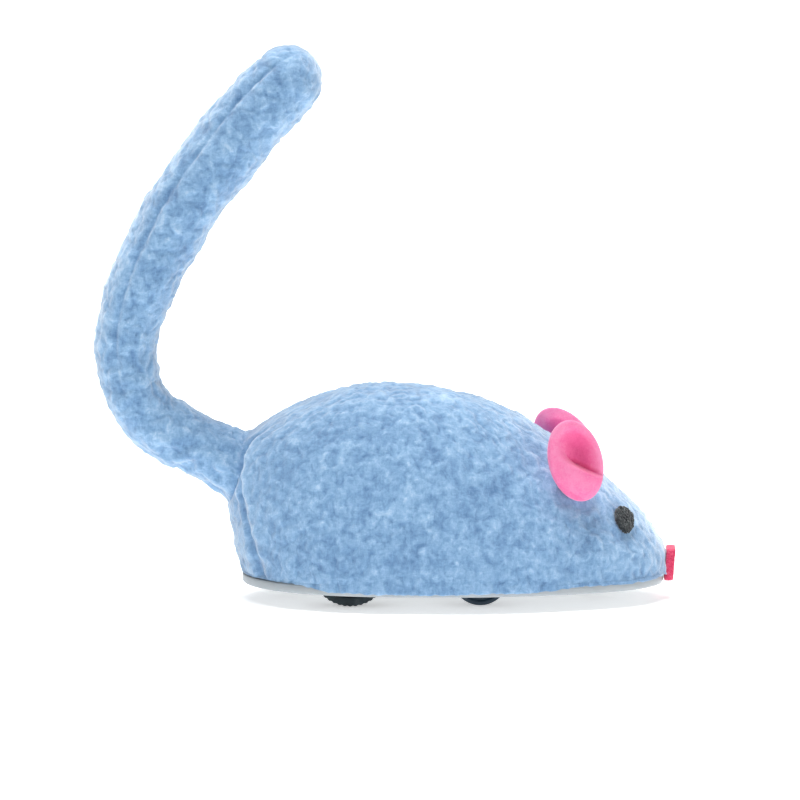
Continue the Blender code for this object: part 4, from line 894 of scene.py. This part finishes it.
class Surface:
    """One procedural material, built node by node from the object's own coordinates, in metres."""

    def __init__(self, name, **sockets):
        self.material = bpy.data.materials.new(name)
        self.material.use_nodes = True
        self.nodes = self.material.node_tree.nodes
        self.links = self.material.node_tree.links
        self.shader = self.nodes["Principled BSDF"]
        self.here = self.nodes.new("ShaderNodeTexCoord").outputs["Object"]
        for socket, value in sockets.items():
            self.shader.inputs[socket.replace("_", " ")].default_value = value

    def put(self, socket, value):
        if isinstance(value, bpy.types.NodeSocket):
            self.links.new(value, socket)
        else:
            socket.default_value = value

    def stretched(self, scale, turn=(0, 0, 0)):
        """The coordinates stretched along each axis."""
        mapping = self.nodes.new("ShaderNodeMapping")
        self.links.new(self.here, mapping.inputs["Vector"])
        mapping.inputs["Scale"].default_value = scale
        mapping.inputs["Rotation"].default_value = turn
        return mapping.outputs["Vector"]

    def noise(self, size_mm, detail=2.0, rough=0.5, distortion=0.0, at=None):
        """Noise from 0 to 1 whose lumps are about size_mm across."""
        tex = self.nodes.new("ShaderNodeTexNoise")
        self.links.new(at or self.here, tex.inputs["Vector"])
        tex.inputs["Scale"].default_value = 1 / (size_mm * MM)
        tex.inputs["Detail"].default_value = detail
        tex.inputs["Roughness"].default_value = rough
        tex.inputs["Distortion"].default_value = distortion
        return tex.outputs["Fac"]

    def attribute(self, name):
        node = self.nodes.new("ShaderNodeAttribute")
        node.attribute_name = name
        return node.outputs["Fac"]

    def math(self, operation, a, b=0.0):
        node = self.nodes.new("ShaderNodeMath")
        node.operation = operation
        self.put(node.inputs[0], a)
        self.put(node.inputs[1], b)
        return node.outputs[0]

    def crossed_fibres(self, distortion, *layers):
        """Fibres in layers of (size in mm, stretch, turn), which run across each other."""
        weight = 1 / len(layers)
        return self.total(*((self.noise(size, 3, 0.65, distortion, self.stretched(stretch, turn)), weight)
                            for size, stretch, turn in layers))

    def total(self, *parts):
        """The sum of (value, weight) parts."""
        weighted = [self.math("MULTIPLY", value, weight) for value, weight in parts]
        result = weighted[0]
        for part in weighted[1:]:
            result = self.math("ADD", result, part)
        return result

    def span(self, value, low, high, to_low=0.0, to_high=1.0):
        """value's part from low to high, spread from to_low to to_high."""
        node = self.nodes.new("ShaderNodeMapRange")
        for socket, given in zip(node.inputs, (value, low, high, to_low, to_high)):
            self.put(socket, given)
        return node.outputs[0]

    def ramp(self, value, *stops):
        """A colour from (place, colour) stops."""
        node = self.nodes.new("ShaderNodeValToRGB")
        self.links.new(value, node.inputs[0])
        elements = node.color_ramp.elements
        while len(elements) < len(stops):
            elements.new(1.0)
        for element, (at, colour) in zip(elements, stops):
            element.position = at
            element.color = (*colour, 1.0)
        return node.outputs["Color"]

    def mix(self, share, a, b):
        """Colour a, and by share colour b."""
        node = self.nodes.new("ShaderNodeMix")
        node.data_type = "RGBA"
        self.put(node.inputs[0], share)
        for number, value in ((6, a), (7, b)):
            self.put(node.inputs[number], value if isinstance(value, bpy.types.NodeSocket) else (*value, 1.0))
        return node.outputs[2]

    def bump(self, height, depth_mm, strength=1.0, under=None):
        node = self.nodes.new("ShaderNodeBump")
        self.links.new(height, node.inputs["Height"])
        node.inputs["Distance"].default_value = depth_mm * MM
        node.inputs["Strength"].default_value = strength
        if under is not None:
            self.links.new(under, node.inputs["Normal"])
        return node.outputs["Normal"]

    def done(self, colour, roughness=None, normal=None):
        for socket, value in (("Base Color", colour), ("Roughness", roughness), ("Normal", normal)):
            if value is not None:
                self.links.new(value, self.shader.inputs[socket])
        return self.material


def fleece_surface():
    """Short brushed pile with fine crossing fibres over its own mottled blue, painted paler on curl tips and
    raised tufts and painted with shade between them, in seams and under the hem.
    """
    s = Surface("fleece_pile", Sheen_Weight=1.0, Sheen_Roughness=0.55, Sheen_Tint=(0.90, 0.96, 1.0, 1.0),
                Specular_IOR_Level=0.08)
    # The stored tone carries painted shade in the valleys, seams, tail root and rolled hem, and painted
    # highlight on raised pile.
    pile = s.attribute("pile")
    fibres = s.crossed_fibres(0.8, (0.34, (1.0, 1.0, 0.28), (0.5, 0.4, 0.2)),
                              (0.30, (0.3, 1.0, 1.0), (0.2, 0.9, 0.5)))
    # tufts both bump out and lighten the colour: painted shading of their relief over random mottling
    tufts = s.noise(2.1, 4, 0.60, 0.8)
    patches = s.noise(6.0, 3, 0.6, 0.5)
    tone = s.total((pile, 0.30), (s.span(fibres, 0.32, 0.68), 0.24), (s.span(tufts, 0.30, 0.70), 0.34),
                   (s.span(patches, 0.3, 0.7), 0.12))
    colour = s.ramp(tone, (0.20, (0.088, 0.200, 0.392)), (0.42, (0.170, 0.330, 0.553)),
                    (0.60, (0.268, 0.458, 0.690)), (0.82, (0.470, 0.645, 0.850)))
    specks = s.span(s.noise(0.7, 2, 0.6, 1.5), 0.68, 0.78)
    colour = s.mix(s.math("MULTIPLY", specks, 0.22), colour, (0.62, 0.72, 0.84))
    roughness = s.span(fibres, 0.3, 0.7, 0.86, 1.0)
    normal = s.bump(tufts, 0.35, 0.5, s.bump(fibres, 0.14, 0.8))
    return s.done(colour, roughness, normal)


def felt_surface(name, deep, main, light, fibre_mm=0.28, lift=0.0):
    """Pressed felt: short matted fibres, a few of them lighter, and by lift the stored tone, a painted
    highlight where it is raised and painted shade in its hollows.
    """
    s = Surface(name, Sheen_Weight=0.4, Sheen_Roughness=0.55, Specular_IOR_Level=0.12)
    matted = s.crossed_fibres(1.2, (fibre_mm, (1.0, 1.0, 0.4), (0.3, 0.7, 0.1)),
                              (fibre_mm, (0.4, 1.0, 1.0), (0.9, 0.1, 0.6)))
    parts = [(s.span(matted, 0.35, 0.65), 0.6 - lift), (s.noise(2.4, 2, 0.5), 0.4)]
    # lift mixes in the stored tone, which carries painted light and shade
    if lift:
        parts.append((s.attribute("pile"), lift))
    colour = s.ramp(s.total(*parts), (0.18, deep), (0.5, main), (0.85, light))
    roughness = s.span(matted, 0.3, 0.7, 0.85, 1.0)
    return s.done(colour, roughness, s.bump(matted, 0.12, 0.7))


def plastic_surface(name, main, shade, roughness, grain_mm=0.5, **sockets):
    """Moulded plastic: faint cloudy colour, a fine mould grain and light scuffs."""
    s = Surface(name, **sockets)
    clouds = s.noise(9.0, 3, 0.55)
    grain = s.noise(grain_mm, 2, 0.6)
    scuffs = s.noise(1.4, 4, 0.7, 0.0, s.stretched((0.15, 1.0, 1.0), (0.0, 0.3, 0.6)))
    colour = s.mix(s.span(clouds, 0.3, 0.7), main, shade)
    colour = s.mix(s.span(scuffs, 0.62, 0.75, 0.0, 0.3), colour, tuple(min(c * 1.3 + 0.02, 1) for c in main))
    rough = s.span(s.total((grain, 0.5), (scuffs, 0.5)), 0.3, 0.7, roughness - 0.07, roughness + 0.15)
    return s.done(colour, rough, s.bump(grain, 0.02, 0.5))


def rubber_surface():
    """Dark rubber, dusty and a little worn."""
    s = Surface("tyre_rubber_worn", Specular_IOR_Level=0.3)
    dust = s.noise(2.2, 4, 0.6)
    grain = s.noise(0.22, 2, 0.6)
    colour = s.ramp(dust, (0.30, (0.020, 0.030, 0.036)), (0.55, (0.034, 0.048, 0.056)),
                    (0.80, (0.085, 0.100, 0.108)))
    return s.done(colour, s.span(dust, 0.3, 0.7, 0.55, 0.8), s.bump(grain, 0.03, 0.6))


def metal_surface(name, main, shade, roughness, brush=(1.0, 0.08, 1.0)):
    """Brushed or turned metal with faint tarnish."""
    s = Surface(name, Metallic=1.0)
    lines = s.noise(0.25, 3, 0.6, 0.0, s.stretched(brush))
    tarnish = s.noise(3.5, 4, 0.6)
    colour = s.mix(s.span(tarnish, 0.35, 0.7), main, shade)
    rough = s.span(s.total((lines, 0.6), (tarnish, 0.4)), 0.3, 0.7, roughness - 0.08, roughness + 0.14)
    return s.done(colour, rough, s.bump(lines, 0.012, 0.5))


def wadding_surface():
    """The tail's loose white stuffing."""
    s = Surface("tail_wadding", Sheen_Weight=0.3, Specular_IOR_Level=0.1)
    wisps = s.noise(0.6, 4, 0.7, 1.5)
    colour = s.ramp(wisps, (0.3, (0.62, 0.62, 0.60)), (0.7, (0.88, 0.88, 0.86)))
    return s.done(colour, s.span(wisps, 0.3, 0.7, 0.85, 1.0), s.bump(wisps, 0.3, 0.8))


FLEECE = fleece_surface()
# The pink felt's lift paints the ears' hollows and creases with shade and their rims and rolls with highlight.
PINK = felt_surface("ear_felt_pink", (0.70, 0.060, 0.230), (0.84, 0.140, 0.350), (0.88, 0.300, 0.510), 0.34,
                    0.42)
RED = felt_surface("nose_felt_red_pile", (0.50, 0.020, 0.075), (0.74, 0.045, 0.130), (0.82, 0.16, 0.25))
BLACK = felt_surface("eye_pile_black", (0.004, 0.005, 0.007), (0.016, 0.022, 0.026), (0.13, 0.155, 0.155), 0.5)
RIM = plastic_surface("base_plastic_pale", (0.44, 0.48, 0.50), (0.39, 0.43, 0.46), 0.42,
                      Subsurface_Weight=0.15, Subsurface_Radius=(0.002, 0.002, 0.002), Subsurface_Scale=1.0)
SHELL = plastic_surface("shell_plastic_pale", (0.62, 0.65, 0.67), (0.56, 0.59, 0.62), 0.5)
HUB = plastic_surface("wheel_plastic_dark", (0.018, 0.034, 0.048), (0.026, 0.044, 0.058), 0.38)
ROLLER = plastic_surface("roller_plastic_navy", (0.012, 0.034, 0.060), (0.020, 0.046, 0.074), 0.36)
KNOB = plastic_surface("knob_plastic_ivory", (0.56, 0.54, 0.47), (0.50, 0.48, 0.41), 0.36)
RUBBER = rubber_surface()
STEEL = metal_surface("steel_brushed", (0.60, 0.60, 0.62), (0.48, 0.48, 0.50), 0.32)
PLATE_STEEL = metal_surface("steel_plate", (0.62, 0.62, 0.63), (0.50, 0.50, 0.52), 0.38, (0.1, 1.0, 1.0))
SPRING_STEEL = metal_surface("steel_blued", (0.20, 0.24, 0.34), (0.30, 0.32, 0.38), 0.28)
BRASS = metal_surface("brass_cut", (0.78, 0.57, 0.24), (0.62, 0.42, 0.15), 0.3, (1.0, 0.2, 1.0))
WADDING = wadding_surface()

NODE_SURFACES = {
    "inner_shell": SHELL, "motor_plate_left": PLATE_STEEL, "motor_plate_right": PLATE_STEEL,
    "mainspring": SPRING_STEEL, "click_spring": SPRING_STEEL, "great_wheel": BRASS, "second_wheel": BRASS,
    "axle_pinion": BRASS, "tail_stuffing": WADDING,
}


def finish_piece(obj, surface, rides, replaced):
    """Gives a new piece its material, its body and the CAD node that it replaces."""
    obj.data.materials.clear()
    obj.data.materials.append(surface)
    if rides:
        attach(obj, rides)
    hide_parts(replaced)
    return obj


# ---- the toy

cover = finish_piece(body_cover(), FLEECE, "chassis", "fleece_cover")

tail = finish_piece(tail_cover(), FLEECE, None, "tail_sleeve")
blend_start, blend_end = place([(-39.5, 0, 24.2), (-46.5, 0, 27.4)])
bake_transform(tail)

for side, sign in (("left", 1), ("right", -1)):
    finish_piece(ear(side, sign), PINK, "chassis", f"ear_{side}")
    finish_piece(eye(side, sign), BLACK, "chassis", f"eye_{side}")
    tyre, hub = rear_wheel(side)
    finish_piece(tyre, RUBBER, "rear_axle", f"rear_tyre_{side}")
    finish_piece(hub, HUB, "rear_axle", f"rear_hub_{side}")
    finish_piece(front_wheel(side), ROLLER, "front_axle", f"front_wheel_{side}")

finish_piece(nose_tab(), RED, "chassis", "nose_felt")
finish_piece(knob(), KNOB, "winding", "winding_knob")
finish_piece(base_tray(), RIM, "chassis", "base_plate")

for name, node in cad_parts.items():
    surface = NODE_SURFACES.get(name, STEEL)
    for slot_number in range(len(node.data.materials)):
        node.data.materials[slot_number] = surface

# ---- camera, light and floor

VIEW_ELEVATION, VIEW_DISTANCE, VIEW_AIM = math.radians(8.5), 2000.0, (-10.19, 0.0, 35.3)
LENS = 507.6
LIGHT_AIM = (0, 0, 0.03)
LIGHTS = [
    ("key", 12.0, 0.7, (-0.05, 0.0, 1.05)),
    ("fill", 0.8, 0.9, (0.75, -0.55, 0.35)),
    ("rim", 6.5, 0.8, (0.0, 0.8, 0.8)),
]
SKY_STRENGTH, FLOOR_GLOW, FLOOR_REACH = 0.30, 0.45, 6
WHITE = (1.0, 1.0, 1.0, 1.0)

camera_data = bpy.data.cameras.new("camera")
camera_data.lens = LENS
camera_data.sensor_width = 36.0
camera_data.clip_start, camera_data.clip_end = 0.05, 20.0
camera = bpy.data.objects.new("camera", camera_data)
back = Vector((0, -math.cos(VIEW_ELEVATION), math.sin(VIEW_ELEVATION)))
camera.location = Vector(place(VIEW_AIM)) + back * VIEW_DISTANCE * MM
camera.rotation_euler = back.to_track_quat("Z", "Y").to_euler()
SCENE.collection.objects.link(camera)
SCENE.camera = camera

for name, energy, size, at in LIGHTS:
    light = bpy.data.lights.new(name, "AREA")
    light.shape, light.size, light.energy = "DISK", size, energy
    lamp = bpy.data.objects.new(name, light)
    lamp.location = at
    lamp.rotation_euler = (Vector(LIGHT_AIM) - Vector(at)).to_track_quat("-Z", "Y").to_euler()
    SCENE.collection.objects.link(lamp)

world = bpy.data.worlds.new("studio")
world.use_nodes = True
sky = world.node_tree.nodes["Background"]
sky.inputs["Color"].default_value = WHITE
sky.inputs["Strength"].default_value = SKY_STRENGTH
SCENE.world = world
SCENE.view_settings.view_transform = "Standard"

floor_mesh = bpy.data.meshes.new("floor")
floor_corners = [(x * FLOOR_REACH, y * FLOOR_REACH, 0) for x, y in ((-1, -1), (1, -1), (1, 1), (-1, 1))]
floor_mesh.from_pydata(floor_corners, [], [(0, 1, 2, 3)])
floor = bpy.data.objects.new("floor", floor_mesh)
SCENE.collection.objects.link(floor)
paper = Surface("floor_paper", Roughness=0.9, Specular_IOR_Level=0.1, Emission_Strength=FLOOR_GLOW,
                Emission_Color=WHITE)
paper_tone = paper.noise(60.0, 3, 0.5)
floor.data.materials.append(paper.done(paper.mix(paper_tone, (0.93, 0.93, 0.93), (0.96, 0.96, 0.96))))
